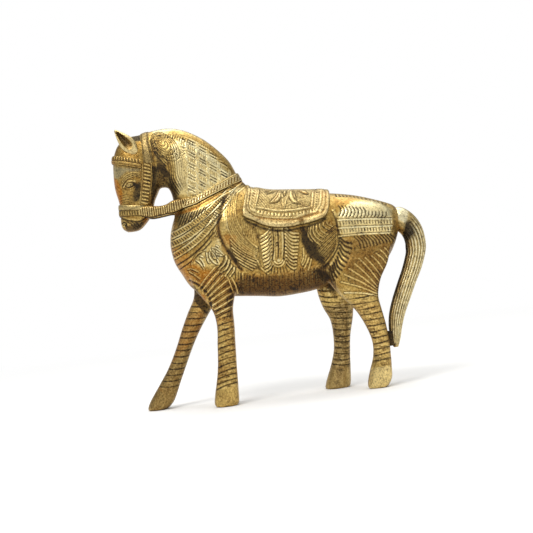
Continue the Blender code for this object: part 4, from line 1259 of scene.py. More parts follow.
def brass(name, light, deep, gold, pale, roughness):
    """A worked brass.

    metal = light to deep by mottle, leaned by warm to orange or to grey; the third number, polish together
    with painted highlight, takes it to gold, then to pale
    darkening = dark * (0.85 + 0.9 (grain - 0.5)) + patches where mottle is high + specks where grain is low,
    where dark is the cuts' oxide and, in some areas, painted shade
    colour = metal to the darkest brown by darkening, a colour that serves the oxide and the painted shade
    roughness = its base, more where it is darkened, less where the third number is high, and grain
    """
    material = bpy.data.materials.new(name)
    tree = Tree(material)
    place = tree.add("ShaderNodeTexCoord", "Object")
    dark_here, warm_here, rubbed_here = (
        tree.add("ShaderNodeAttribute", "Fac", {"attribute_name": layer})
        for layer in ("dark", "warm", "rubbed")
    )
    mottle = tree.add("ShaderNodeTexNoise", 0, Vector=place, Scale=95.0, Detail=8.0, Roughness=0.75)
    grain = tree.add("ShaderNodeTexNoise", 0, Vector=place, Scale=750.0, Detail=4.0, Roughness=0.7)
    metal = tree.mix(mottle.between(0.38, 0.62), light, deep)
    metal = tree.mix((warm_here + (mottle - 0.5) * 1.2).clamped() * 0.85, metal, ORANGE)
    metal = tree.mix((warm_here * -1.0).clamped() * 0.8, metal, GREY)
    polish_and_highlight = (rubbed_here.between(0, 0.6) * (1.35 - mottle) + (grain - 0.52).clamped() * 3.0).clamped()
    metal = tree.mix(polish_and_highlight, metal, gold)
    metal = tree.mix(rubbed_here.between(0.45, 1) * 0.95, metal, pale)
    soiled_and_shaded = dark_here * (0.85 + 0.9 * (grain - 0.5)) + (mottle - 0.54).clamped() * 2.4
    soiled_and_shaded = (soiled_and_shaded + (0.51 - grain).clamped() * 3.6).clamped()
    rough = (roughness + 0.28 * soiled_and_shaded - 0.08 * rubbed_here + 0.35 * (grain - 0.5)).clamped(0.16, 0.85)
    bumps = tree.add("ShaderNodeBump", Height=grain, Strength=0.5, Distance=0.0002)
    colour = tree.mix(soiled_and_shaded, metal, PATINA_AND_SHADE)
    surface = tree.add(
        "ShaderNodeBsdfPrincipled", Base_Color=colour, Roughness=rough, Metallic=1.0, Normal=bumps
    )
    tree.end("ShaderNodeOutputMaterial", surface)
    return material


GOLD, CREAM = (0.74, 0.54, 0.19, 1), (0.92, 0.82, 0.48, 1)
# For each brass: light, deep, gold, pale and roughness
BRASS = {
    "chased_brass": ((0.41, 0.265, 0.07, 1), (0.29, 0.158, 0.031, 1), GOLD, CREAM, 0.36),
    # A darker copy of the chased brass: painted shade on the far legs, and on the lug together with its solder.
    "dark_brass": (
        (0.3, 0.19, 0.055, 1), (0.19, 0.11, 0.028, 1), (0.55, 0.4, 0.16, 1), (0.66, 0.53, 0.28, 1), 0.42,
    ),
    "bright_brass": (
        (0.47, 0.345, 0.125, 1), (0.34, 0.215, 0.06, 1), (0.68, 0.53, 0.24, 1), (0.84, 0.75, 0.47, 1), 0.40,
    ),
    "strip_brass": ((0.38, 0.25, 0.07, 1), (0.27, 0.155, 0.032, 1), (0.66, 0.48, 0.17, 1), CREAM, 0.37),
}
BRASS = {name: brass(name, *settings) for name, settings in BRASS.items()}
print("materials:", list(BRASS))

# %% [markdown]
# ## Laying the sheet on the skin
#
# Each point of the skin looks up its own place on the sheet and moves along its normal by the rise there.
# Seen from the side, a photograph shows near things slightly larger than far ones, and the sheet was drawn
# as such a picture is. So the look-up uses the place where the point appears, not the place where it is.
# Where the skin turns away from the side view, on the back, the chest and under the belly, a flat pattern
# would smear into long streaks, so the fine relief fades out there.
#
# The relief is split in two: the broad forms, which are the sheet blurred by a bell curve, and the fine
# relief, which is the rest. The fine relief is shallow, as chasing is. Where it stands proud, hands have
# rubbed it bright. High on the back and the neck, faces that turn up are made paler as a painted highlight,
# and faces that turn down, away from the side view, are darkened a little as painted shade.

# %% Look-up and displacement
VIEW_FROM, VIEW_MIDDLE = 850.0, np.array([-6.6, 93.2])
BLUR, FINE_SHARE, SOLE = 1.3, 0.62, 0.35


def blurred(field, spread):
    """The field smoothed by exp(-(r / spread)^2 / 2), worked out on its Fourier transform."""
    fx, fz = np.fft.rfftfreq(COLUMNS, CELL)[None, :], np.fft.fftfreq(ROWS, CELL)[:, None]
    kept = np.exp(-2 * (np.pi * spread) ** 2 * (fx**2 + fz**2))
    return np.fft.irfft2(np.fft.rfft2(field) * kept, field.shape)


def apparent(points):
    """Where points appear in the side view: c + (p - c) * D / (D - |y|), for either side of the horse."""
    scale = VIEW_FROM / (VIEW_FROM - np.abs(points[:, Y]))
    return VIEW_MIDDLE + (points[:, [X, Z]] - VIEW_MIDDLE) * scale[:, None]


def looked_up(field, places):
    """The field's value at each place x, z, straight between the four nearest cells."""
    i = np.clip((places[:, 0] - LEFT) / CELL, 0, COLUMNS - 1.001)
    j = np.clip((places[:, 1] - LOW) / CELL, 0, ROWS - 1.001)
    i0, j0 = i.astype(int), j.astype(int)
    s, t = i - i0, j - j0
    low = field[j0, i0] * (1 - s) + field[j0, i0 + 1] * s
    return low * (1 - t) + (field[j0 + 1, i0] * (1 - s) + field[j0 + 1, i0 + 1] * s) * t


def paint(mesh, **layers):
    """Keeps one number a point in the mesh, under each name, for the material to read."""
    for name, values in layers.items():
        layer = mesh.attributes.new(name, "FLOAT", "POINT")
        layer.data.foreach_set("value", np.asarray(values, np.float32))


def bright(shade, clean=0.3):
    """How far metal is rubbed that holds this much patina: 1 where there is none, 0 from clean on."""
    return soft(clean - shade, 0, clean)


broad_forms = blurred(rise, BLUR)
fine_relief = rise - broad_forms


def chased(mesh):
    """Displaces the mesh's points by the sheet, all but the soles, and keeps dark, warm and rubbed on them.

    moved = point + normal * (broad + FINE_SHARE * fine) * facing, with facing 1 on the flanks and 0 on the back
    dark = the sheet's, and a little painted shade where the skin faces down
    the third number = polish where fine relief stands proud, the sheet's fourth number (wear, and on the neck
    and the croup painted highlight), and a painted highlight where the skin faces up on the back and the neck
    """
    points, normals = points_of(mesh), normals_of(mesh)
    places = apparent(points)
    facing = soft(np.abs(normals[:, Y]), 0.12, 0.45)
    fine = looked_up(fine_relief, places)
    by = (looked_up(broad_forms, places) + FINE_SHARE * fine) * facing
    moved = points + normals * by[:, None]
    moved[:, Z] = np.where(points[:, Z] < SOLE, points[:, Z], np.maximum(moved[:, Z], 0))
    move_to(mesh, moved)
    patina_and_shade = soft(looked_up(dark, places), 0.08, 0.72) * facing
    # Painted shade: faces that turn down, away from the side view, are darkened a little.
    patina_and_shade = patina_and_shade + 0.3 * soft(-normals[:, Z], 0.4, 0.95) * (1 - facing)
    paleness = 0.5 * soft(fine, 0.02, 0.2) * facing + looked_up(worn_and_lit, places) * (0.5 + 0.5 * facing)
    # Painted highlight: faces that turn up, high on the back and the neck, are made paler.
    paleness += 0.42 * soft(normals[:, Z], 0.45, 0.9) * soft(points[:, Z], 110, 150)
    paint(mesh, dark=patina_and_shade, warm=looked_up(warm, places) * (0.4 + 0.6 * facing), rubbed=np.clip(paleness, 0, 1))
    return mesh


figure = chased(skin.copy())
print("chased points:", len(figure.vertices))

# %% Castings as pieces of the scene
SMOOTH_EDGE = math.radians(60)


def piece(name, mesh, slot, *nodes):
    """One object of the horse, in its brass, riding on the only body and standing for its CAD nodes."""
    made = bpy.data.objects.new(name, mesh)
    bpy.context.scene.collection.objects.link(made)
    mesh.materials.clear()
    mesh.materials.append(BRASS[slot])
    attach(made, "root")
    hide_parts(*nodes)


for name, mesh in castings(figure).items():
    mesh.shade_smooth()
    mesh.set_sharp_from_angle(angle=SMOOTH_EDGE)
    # The far legs take the darker brass as painted shade.
    slot = "dark_brass" if name in ("far_foreleg", "far_hind_leg") else "chased_brass"
    piece("chased_" + name, mesh, slot, name)
    print(name, "faces:", len(mesh.polygons))

# %% [markdown]
# ## Harness as strips of the same skin
#
# A strap lies flat on the horse wherever it goes, so it is made from the smooth skin below it. Two lines of
# the side view cut a patch out of the skin. The patch is lifted along its normals by a height that depends
# on the place across the strap, sunk a little on its under side, and closed round the rim. So a strap is a
# function of two numbers too: `across`, from -1 at one edge to 1 at the other, and `along` in millimetres.

# %% Patches and closed sheets
STRAP_LIFT, REIN_LIFT, SADDLE_LIFT = 1.45, 1.7, 2.5
SUNK = 0.5


def patch(mesh, *edges, finer=True):
    """The part of the mesh between edges, in finer quads or in triangles.

    Each edge is an axis, a level and a side to keep.
    """
    for axis, level, keep in edges:
        mesh = cut(mesh, axis, level, keep, cap=False)
    if finer:
        return with_modifiers(mesh, ("SUBSURF", {"subdivision_type": "SIMPLE", "levels": 1, "render_levels": 1}))
    return with_modifiers(mesh, ("TRIANGULATE", {}))


def corners_of(mesh):
    """The corners of the mesh's faces, which all have the same number of them."""
    found = np.empty(len(mesh.loops), np.int32)
    mesh.loops.foreach_get("vertex_index", found)
    return found.reshape(len(mesh.polygons), -1).astype(np.int64)


def strip(name, sheet, shape, polish=0.5):
    """A closed strip: the sheet lifted by shape(points) -> height, dark, warm, and its sunk under side."""
    points, normals, faces = points_of(sheet), normals_of(sheet), corners_of(sheet)
    height, shade, lean = shape(points)
    count = len(points)
    starts, ends = faces.ravel(), np.roll(faces, -1, axis=1).ravel()
    rim = ~np.isin(starts * count + ends, ends * count + starts)
    a, b = starts[rim], ends[rim]
    around = np.stack([b, a, a + count, b + count], axis=1)
    both = np.vstack([points + normals * height[:, None], points - normals * SUNK])
    both_sides = np.vstack([faces, faces[:, ::-1] + count])
    if faces.shape[1] == 4:
        mesh = mesh_from(name, both, np.vstack([both_sides, around]))
    else:
        mesh = mesh_from(name, both, around, both_sides)
    under, paleness = np.zeros(count), polish * bright(shade)
    paint(
        mesh, dark=np.concatenate([shade, under + 1]), warm=np.concatenate([lean, under]),
        rubbed=np.concatenate([paleness, under]),
    )
    mesh.set_sharp_from_angle(angle=SMOOTH_EDGE)
    return mesh


def over(values, low, high):
    """The place across a strip: -1 on its low edge, 1 on its high edge."""
    return 2 * (values - low) / (high - low) - 1


def rolled(across, lift, fall=4.0):
    """A strap's section: lift * (0.25 + 0.75 (1 - |s|^n)^(1/2)), flat in the middle and rolled at the edges."""
    return lift * (0.25 + 0.75 * np.sqrt(np.clip(1 - np.abs(across) ** fall, 0, 1)))


def between(axis, low, high):
    """The two edges of a strap that lies between two curves, and a function for the place across it."""
    other, level = (Z, by_z) if axis == X else (X, by_x)
    edges = [(axis, level(low), 1), (axis, level(high), -1)]
    return edges, lambda points: over(points[:, axis], low(points[:, other]), high(points[:, other]))


front_skin = cut(skin, X, flat_at(-10), -1, cap=False)
head_skin = cut(front_skin, X, flat_at(-72), -1, cap=False)
print("patch sources:", len(front_skin.polygons), len(head_skin.polygons))

# %% [markdown]
# ### Crown strap, browband and cheek straps
#
# The crown strap is plain, with a dark line near each edge. The browband has a row of upright bars above a
# smooth roll. The cheek strap is a ladder of bars between two rims.

# %% Straps on the head
CROWN_EDGES, across_crown = between(
    X, curve((175, -83.3), (190, -83.6), (212, -85)), curve((175, -76.2), (190, -77.8), (212, -79))
)
BROW_EDGES, across_brow = between(Z, curve((-115, 180.8), (-85.6, 171.8)), curve((-115, 186.8), (-85, 178.4)))
NOSE_EDGES, across_nose = between(
    Z, curve((-115, 140.4), (-95, 139.8), (-76, 137.2)), curve((-115, 150.6), (-95, 147.6), (-76, 145))
)
CHEEK_EDGES, across_cheek = between(
    X, curve((147, -90.3), (155.2, -88.2), (164.2, -86), (175, -84.6)),
    curve((147, -82.8), (154.2, -81), (165, -78.4), (175, -77.2)),
)


def round_the_head(points, middle, radius):
    """The distance from the front round an upright cylinder about x = middle: radius * angle."""
    return radius * np.arctan2(points[:, Y], -(points[:, X] - middle))


def crown_shape(points):
    """A low plain roll with a dark line near each edge."""
    s = across_crown(points)
    lines = bell(s + 0.72, 0.13) + bell(s - 0.72, 0.13)
    shade = 0.18 + 0.6 * lines + soft(np.abs(s), 0.93, 1.0)
    return rolled(s, 0.5 * STRAP_LIFT) - 0.2 * lines, shade, -0.35 * (1 - lines)


def brow_shape(points):
    """Bars over the upper half, a line in the middle, and a smooth roll below that is orange in front."""
    s = across_brow(points)
    row = marks(round_the_head(points, -92, 10.5), 1.75, 0.45, 0.25)
    row = row * soft(s, -0.05, 0.12) * (1 - soft(s, 0.78, 0.92))
    lines = bell(s, 0.10) + 0.6 * bell(s + 0.62, 0.08)
    orange = soft(-points[:, X], 101, 106) * (1 - soft(s, 0.0, 0.5))
    shade = np.maximum(0.6 * row, 0.8 * lines) + soft(-s, 0.88, 1.0) + 0.12
    return rolled(s, STRAP_LIFT, 3.0) - 0.35 * row - 0.35 * lines, shade, 0.2 + 0.9 * orange


def cheek_shape(points):
    """A ladder: sunk ground between bars, inside two rims."""
    s = across_cheek(points)
    ground = (1 - marks(points[:, Z] + 1.2 * s, 2.35, 0.5, 0.25)) * (1 - soft(np.abs(s), 0.55, 0.7))
    lines = bell(np.abs(s) - 0.72, 0.09)
    shade = np.maximum(0.75 * ground, 0.7 * lines) + soft(np.abs(s), 0.93, 1.0)
    return rolled(s, STRAP_LIFT, 6.0) - 0.5 * ground - 0.25 * lines, shade, 0.15 + 0 * s


def nose_shape(points):
    """Bars over the lower half, a line in the middle, and a smooth grey band above."""
    s = across_nose(points)
    row = marks(round_the_head(points, -94, 9.5), 1.7, 0.45, 0.25)
    row = row * soft(s, -0.82, -0.7) * (1 - soft(s, -0.12, 0.02))
    lines = bell(s - 0.06, 0.09) + 0.5 * bell(s + 0.88, 0.08)
    shade = np.maximum(0.65 * row, 0.8 * lines) + soft(-s, 0.9, 1.0) + 0.1
    return rolled(s, STRAP_LIFT, 4.0) - 0.35 * row - 0.3 * lines, shade, -0.8 * soft(s, 0.1, 0.3)


STRAPS = [
    ("crown_strap", [*CROWN_EDGES, (Z, flat_at(175.3), 1)], crown_shape, 0.1),
    ("browband", [*BROW_EDGES, (X, flat_at(-85.3), -1)], brow_shape, 0.45),
    ("noseband", [*NOSE_EDGES, (X, flat_at(-76.2), -1)], nose_shape, 0.45),
]
for side, sign in SIDES.items():
    ends = [(Z, flat_at(147.4), 1), (Z, flat_at(175.0), -1), (Y, flat_at(0), sign)]
    STRAPS.append((side + "_cheek_strap", [*CHEEK_EDGES, *ends], cheek_shape, 0.45))
for name, strap_edges, shape, polish in STRAPS:
    made = strip(name, patch(head_skin, *strap_edges), shape, polish)
    piece("strap_" + name, made, "strip_brass", name)
    print(name, "faces:", len(made.polygons))

# %% [markdown]
# ### Reins
#
# Each rein is a stiff little bar from the noseband to the throat, then a collar strap up the neck to the
# withers. Both carry a row of ticks, and the collar has double border lines.

# %% Collar straps and rein bars
REIN_BAR = (
    (-91, 145.6, -91, 139.4, 1, 0.6), (-84, 145.6, -84, 136.9, 1, 0.73),
    (-76, 144.4, -76, 137.4, 1, 0.84), (-71, 144.9, -71, 138, 1, 0.88),
    (-66, 147, -66, 138.2, 1, 0.93), (-60, 147.4, -59, 140.4, 1, 1),
    (-54, 148, -53, 142.6, 0.9, 1.04),
)
COLLAR_EDGES, across_collar = between(
    Z,
    curve(
        (-74, 139.2), (-67, 139.4), (-60, 140.2), (-50, 142), (-40, 146), (-30, 150), (-20, 154), (-14, 156.7),
    ),
    curve((-74, 144.9), (-60, 145.3), (-50, 147.6), (-40, 152), (-30, 156.6), (-20, 161.2), (-14, 164.1)),
)


def collar_shape(points):
    """A row of leaning ticks between border lines; the strap thins out towards the withers."""
    s = across_collar(points)
    along = 1.09 * points[:, X] - 0.6 * s
    row = marks(along, 2.2, 0.34, 0.25) * (1 - soft(np.abs(s + 0.1), 0.42, 0.55))
    lines = bell(s - 0.62, 0.07) + bell(s + 0.7, 0.07) + 0.6 * bell(s - 0.86, 0.05)
    lift = REIN_LIFT * (0.45 + 0.55 * soft(-points[:, X], 15, 22))
    shade = np.maximum(0.55 * row, 0.5 * lines) + soft(-s, 0.93, 1.0)
    return rolled(s, lift, 5.0) - 0.16 * row - 0.2 * lines, shade, 0.5 * row


def tube(name, grid, caps=(0, 0, 0), **layers):
    """A closed tube that keeps these numbers on its rings, and one of each, from caps, on its end points."""
    points, quads, triangles = closed_tube(grid)
    mesh = mesh_from(name, points, quads, triangles)
    for (layer, values), cap in zip(layers.items(), caps):
        paint(mesh, **{layer: np.concatenate([np.broadcast_to(values, grid.shape[:2]).ravel(), [cap, cap]])})
    return mesh


def rein_bar(side):
    """The bar as rings: a row of ticks presses in the outer face, and the underside is darker."""
    count = 48
    grid = rings(REIN_BAR, 4.2, 14.5, side, fullness=3.0, count=count, steps=30)
    angle = np.arange(count) * 2 * np.pi / count
    outer = soft(np.sin(angle), 0.35, 0.6)
    row = marks(grid[:, :1, X], 1.6, 0.5, 0.25) * outer * soft(0.75 - np.abs(np.cos(angle)), 0, 0.15)
    line = bell(np.abs(np.cos(angle)) - 0.8, 0.1) * outer
    grid[..., Y] -= side * (0.22 * row + 0.16 * line)
    # The underside is painted darker as shade.
    shade = np.maximum(np.maximum(0.62 * row, 0.6 * line), soft(-np.cos(angle), 0.55, 0.9))
    return tube("rein_bar", grid, (1, 0.2, 0), dark=shade, warm=0.2, rubbed=0.6 * bright(shade))


for side, sign in SIDES.items():
    ends = [(X, flat_at(-14.6), -1), (X, flat_at(-70.5), 1), (Y, flat_at(0), sign)]
    made = strip(side + "_collar", patch(front_skin, *COLLAR_EDGES, *ends), collar_shape, polish=0.75)
    piece(side + "_rein_collar", made, "strip_brass", side + "_rein")
    piece(side + "_rein_bar", rein_bar(sign), "strip_brass", side + "_rein")
    print(side, "collar faces:", len(made.polygons))

# %% [markdown]
# ## The saddle
#
# The saddle is one padded sheet over the back with a flap on each side. It is a patch of the skin again,
# lifted more than a strap, with a rolled lip along the lower edge. The flap's pattern is drawn on the same
# sheet, wiped first: three border lines in front, a beaded border below, and a flower of long petals on a
# punched ground.

# %% Draw the flap's pattern
for field in (rise, dark, warm, worn_and_lit):
    field[:] = 0
GROUND = [
    (-5.6, 148.1), (-7.4, 140.9), (-9.6, 135), (-3.5, 133.2), (6.2, 130.5), (17.5, 129.6), (24.7, 129.9),
    (29.9, 130), (31.4, 137), (32.4, 148),
]
cells, into = inside_of(GROUND)
x, z = across[cells], upwards[cells]
crossed = 1 - soft(np.abs(np.sin(np.pi * (x * 0.79 + z * 0.61) / 1.3)), 0.25, 0.6)
fine_dots = np.cos(2 * np.pi * (x + 0.5 * z) / 1.6) * np.cos(2 * np.pi * (z - 0.5 * x) / 1.6)
left_part = soft(-x, -2.0, 3.0)
punched = (left_part * crossed + (1 - left_part) * soft(fine_dots, 0.1, 0.5)) * soft(into, 0.3, 0.9)
lay(cells, -0.2 * punched - 0.10 * soft(into, 0, 0.5), 0.15 * soft(into, 0, 0.5) + 0.62 * punched)
PETALS = (
    ([(8.4, 145.5), (5.2, 145.4), (2.1, 144), (-0.6, 142.3), (2.7, 142.5), (5.6, 143.2), (8.2, 144.3)], 0.1),
    ([(5.9, 145.9), (3.1, 146.2), (0.1, 144.9), (-1.8, 143.8), (1.2, 143.9), (4, 144.9)], 0.1),
    (
        [
            (9, 144.9), (7.3, 142.6), (5.2, 140), (2.4, 137.9), (0.5, 136.3), (4, 135.7), (7.6, 136.5),
            (9.5, 138.8), (10.4, 142.3), (10.1, 144.4),
        ],
        0.2,
    ),
    ([(13, 144.9), (11.6, 143.9), (11.1, 141.4), (11.9, 139.2), (13.3, 140.8), (14.2, 143.2)], 0.4),
    (
        [
            (16.5, 144.2), (15.3, 141.7), (14.7, 138.9), (16.1, 135.8), (18.7, 133.7), (22.6, 132.9),
            (20.3, 135), (19.9, 138.2), (19, 141.9), (17.9, 144.1),
        ],
        0.1,
    ),
    (
        [
            (18.6, 144.5), (20.6, 142.8), (22.5, 141.1), (25.2, 139.4), (29, 138.5), (27.1, 140.9),
            (24.9, 142.6), (22.2, 144),
        ],
        0.8,
    ),
)
for outline, lean in PETALS:
    cells, into = inside_of(outline)
    inner = soft(into, 0, 0.7)
    rise[cells] = rise[cells] * (1 - soft(into, -0.3, 0.2)) + 0.5 * inner
    dark[cells] *= 1 - soft(into, -0.2, 0.3)
    warm[cells] += lean * inner
    line_cut([*outline, outline[0]], 0.42, 0.26, 1.0)
line_cut([(17.9, 141.7), (17.9, 138.5), (19.1, 135.8)], 0.6, 0.25, 0.85)
line_cut([(9.4, 143.8), (7.3, 139.8), (4.1, 136.9)], 0.32, 0.16, 0.6)
line_cut([(19.1, 142.6), (21, 140.6), (21.4, 138)], 0.4, 0.16, 0.6)
line_ridge([(11.3, 145), (10.3, 141.6), (10.5, 136.5), (10.6, 131.5)], 0.45, 0.3)
line_ridge([(15.4, 144.5), (14.9, 140.3), (12.6, 136.3), (11, 131.5)], 0.45, 0.3)
line_ridge(GROUND[:3], 0.55, 0.3)
line_ridge([*GROUND[2:7], (29.7, 130)], 0.5, 0.25)
line_ridge([(32.7, 147), (32.7, 142.7), (31.6, 136.1), (30.3, 129.8)], 0.7, 0.25, 1.0)
for points, width in (
    ([(-10.6, 153), (-12.5, 143), (-14, 136), (-12.6, 131.8)], 0.42),
    ([(-12.4, 155), (-14.6, 143), (-16.4, 135.7), (-14.6, 131.4)], 0.42),
    ([(-9, 133), (-3.9, 132), (3, 129.7), (9.7, 128.6), (17, 128), (24.6, 128.6), (31, 129)], 0.4),
    ([(-14.4, 131.4), (-7, 127.7), (2.7, 125.2), (10, 124), (18.2, 123.4)], 0.55),
    ([(-12, 132), (-6.4, 129.3), (3, 127), (11.8, 125.6), (18.8, 125.4)], 0.36),
    ([(18.9, 123.2), (24, 124.3), (31.3, 125), (34.9, 125.3)], 0.75),
    ([(33.9, 147), (33.9, 142.5), (32.8, 135.9), (31.2, 129.3)], 0.36),
    ([(37.2, 147), (37, 142.4), (36.3, 136), (34.8, 130.6), (32.4, 127.6)], 0.42),
    ([(39.3, 147), (39, 142.1), (38.6, 136.5), (37.2, 131), (34.4, 126.4)], 0.42),
    ([(41.2, 147), (41, 141.2), (40.9, 135.4), (39.8, 129.9), (37, 125.2)], 0.42),
):
    line_cut(points, width, 0.18, 0.42)
ticks(
    [(-7.9, 153), (-9, 146.5), (-10.6, 140.5), (-12.4, 134.6)],
    -1.0, 0.9, spacing=1.75, lean=-0.5, depth=0.16, shade=0.5,
)
ticks(
    [
        (-8.6, 132), (-0.4, 129.3), (5.2, 128.1), (11.5, 127.1), (16.5, 126.8), (21.5, 127.2), (26.6, 127.4),
        (31.6, 127.8),
    ],
    -0.9, 0.9, spacing=2.5, share=0.3, depth=0.22, shade=0.55,
)
beads([(35.2, 147), (35.4, 142.4), (34.4, 135.7), (32.9, 129.5)], 1.5, 0.5, 0.22)
tone(
    [
        (-19, 131), (-4, 123.5), (16, 120.5), (38, 121.5), (43, 130), (46, 150), (40, 150), (36, 128),
        (16, 124.5), (0, 127),
    ],
    0.45, 0.1, 1,
)
# Painted shade in the notch of the lip.
tone([(19.5, 124.5), (23.5, 124.5), (24, 118), (19.5, 118)], 0.0, 0.5, 1.5)
print("flap drawn:", round(rise.min(), 2), "to", round(rise.max(), 2))

# %% [markdown]
# The lip is a roll of metal that stands out past the flap. Its height follows from the distance to the lower
# edge: a half circle over the first few millimetres, then a step down to the flap. On the seat the side view
# says nothing, so there the borders follow x alone and the ground is a grid of punch marks.

# %% The saddle's sheet, lifted and patterned
SADDLE_FRONT, SADDLE_BACK, SADDLE_LOW = (
    curve(*spline(points)) for points in (
        [
            (129.4, -19), (133.9, -18.8), (138.2, -17.7), (143.3, -16.2), (148.2, -14.4), (160, -13.2),
            (172, -12.5),
        ],
        [(117, 39.2), (121.6, 39.8), (129.1, 41.8), (137.2, 43.4), (150, 44), (172, 44.4)],
        [
            (-19, 129.6), (-15.3, 126.9), (-11, 124.6), (-5.6, 121.5), (1, 119.2), (7, 118.2), (14, 117.8),
            (18.6, 118.5), (25.2, 118.9), (31, 119.9), (35.4, 121), (38.4, 122.8), (40.2, 125.6), (42, 130),
        ],
    )
)
LIP, RIM, PUNCH_PITCH = 3.3, 1.3, 2.0


def half_round(t):
    """The height of a half circle at t from 0 to 1 across it: (1 - (2t - 1)^2)^(1/2)."""
    return np.sqrt(np.clip(1 - (2 * t - 1) ** 2, 0, 1))


def saddle_shape(points, normals):
    """A padded sheet: rounded at its rim, a lip along the low edge, a raised cantle, and the flap's drawing.

    height = SADDLE_LIFT * low_front * (0.15 + 0.85 rim) + lip + cantle + flap - the seat's borders and ground
    """
    places = apparent(points)
    side_on = soft(np.abs(normals[:, Y]), 0.2, 0.5)
    x = points[:, X]
    up_from_edge = points[:, Z] - SADDLE_LOW(x)
    in_from_front, in_from_back = x - SADDLE_FRONT(points[:, Z]), SADDLE_BACK(points[:, Z]) - x
    nearest = np.minimum(np.minimum(in_from_front, in_from_back), up_from_edge)
    rim = half_round(np.clip(nearest / RIM, 0, 1) / 2)
    notch = 1 - 0.8 * bell(x - 20.8, 1.7)
    lip = 0.4 * half_round(np.clip(up_from_edge / LIP, 0, 1)) * side_on * soft(in_from_back, -1, 3) * notch
    seat = (1 - side_on) * soft(np.abs(normals[:, Z]), 0.5, 0.8)
    borders = bell(in_from_front - 2.2, 0.35) + bell(in_from_front - 4.6, 0.35)
    borders = borders + bell(in_from_back - 3.4, 0.35) + bell(in_from_back - 9.6, 0.35)
    round_the_back = 1.2 * points[:, Y]
    grid = np.cos(2 * np.pi * x / PUNCH_PITCH) * np.cos(2 * np.pi * round_the_back / PUNCH_PITCH)
    ground = soft(grid, 0.2, 0.7) * soft(in_from_front, 5.2, 6.0) * soft(in_from_back, 10.4, 11.2)
    cantle = 0.5 * bell(x - 37.5, 4.5) * (1 - side_on)
    flap = looked_up(rise, places) * side_on
    low_front = 1 - 0.6 * (1 - soft(in_from_front, 0, 9)) * (1 - side_on)
    height = SADDLE_LIFT * low_front * (0.15 + 0.85 * rim) + lip + cantle + flap
    height = height - seat * (0.3 * borders + 0.2 * ground)
    shade = np.maximum(looked_up(dark, places) * side_on, seat * np.maximum(0.8 * borders, 0.55 * ground))
    # The lowest half millimetre, under the lip, is painted dark as the lip's shadow.
    shade = np.maximum(shade, soft(0.5 - up_from_edge, 0, 0.5))
    return height, 0.8 * shade, looked_up(warm, places) * side_on


middle_skin = cut(cut(skin, X, flat_at(-25), 1, cap=False), X, flat_at(52), -1, cap=False)
saddle_edges = [(Z, by_x(SADDLE_LOW), 1), (X, by_z(SADDLE_FRONT), 1), (X, by_z(SADDLE_BACK), -1)]
sheet = patch(middle_skin, *saddle_edges, finer=False)
made = strip("saddle", sheet, lambda points: saddle_shape(points, normals_of(sheet)))
piece("chased_saddle", made, "bright_brass", "saddle")
print("saddle faces:", len(made.polygons))

# %% [markdown]
# ## Ears
#
# An ear is a leaf: a loft whose outer face is pressed in. The hollow is a formula of the angle round the
# section and of the place along the leaf, deepest a third of the way up and gone at the rim, which stays
# bright.

# %% Ear as a dented loft
def ear(side):
    """Leaf rings with the outer face moved in by min(3.4, 1.55 w) * (1 - (u / 0.6)^2)^1.4.

    u is the place from the front rim to the back rim, and w half the leaf's width there.
    """
    count, steps, width = 72, 14, 6.0
    grid = rings(EAR, width, 9.8, side, fullness=2.1, count=count, steps=steps)
    angle = np.arange(count) * 2 * np.pi / count
    along = np.linspace(0, 1, len(grid))[:, None]
    outer = soft(np.sin(angle), 0.02, 0.25)
    hollowed = soft(along, 0.12, 0.4) * (1 - soft(along, 0.8, 0.96))
    dent = np.clip(1 - (np.cos(angle) * 0.98 / 0.6) ** 2, 0, 1) ** 1.4 * hollowed * outer
    half = smooth_rows(np.array(EAR, float), steps)[:, 4:5] * width / 2
    grid[..., Y] -= side * dent * np.minimum(3.4, 1.55 * half)
    return tube("ear", grid, dark=0.9 * dent**1.7, warm=0.35 * dent, rubbed=0.5 * bright(dent, 0.2))


for side, sign in SIDES.items():
    piece("leaf_" + side + "_ear", ear(sign), "bright_brass", side + "_ear")
print("ears:", list(SIDES))

# %% [markdown]
# ## The tail
#
# The tail is one loft with its hair drawn as long ridges. Their height follows from the angle round the
# section by a cosine, and the grooves between them keep broken dark lines. The root is plain and painted
# pale as a highlight, and the ridges fade in below it. The edge that faces the horse, and the underside of
# the root, are painted dark as shade.

# %% Ridged tail and its lug
STRANDS = 20


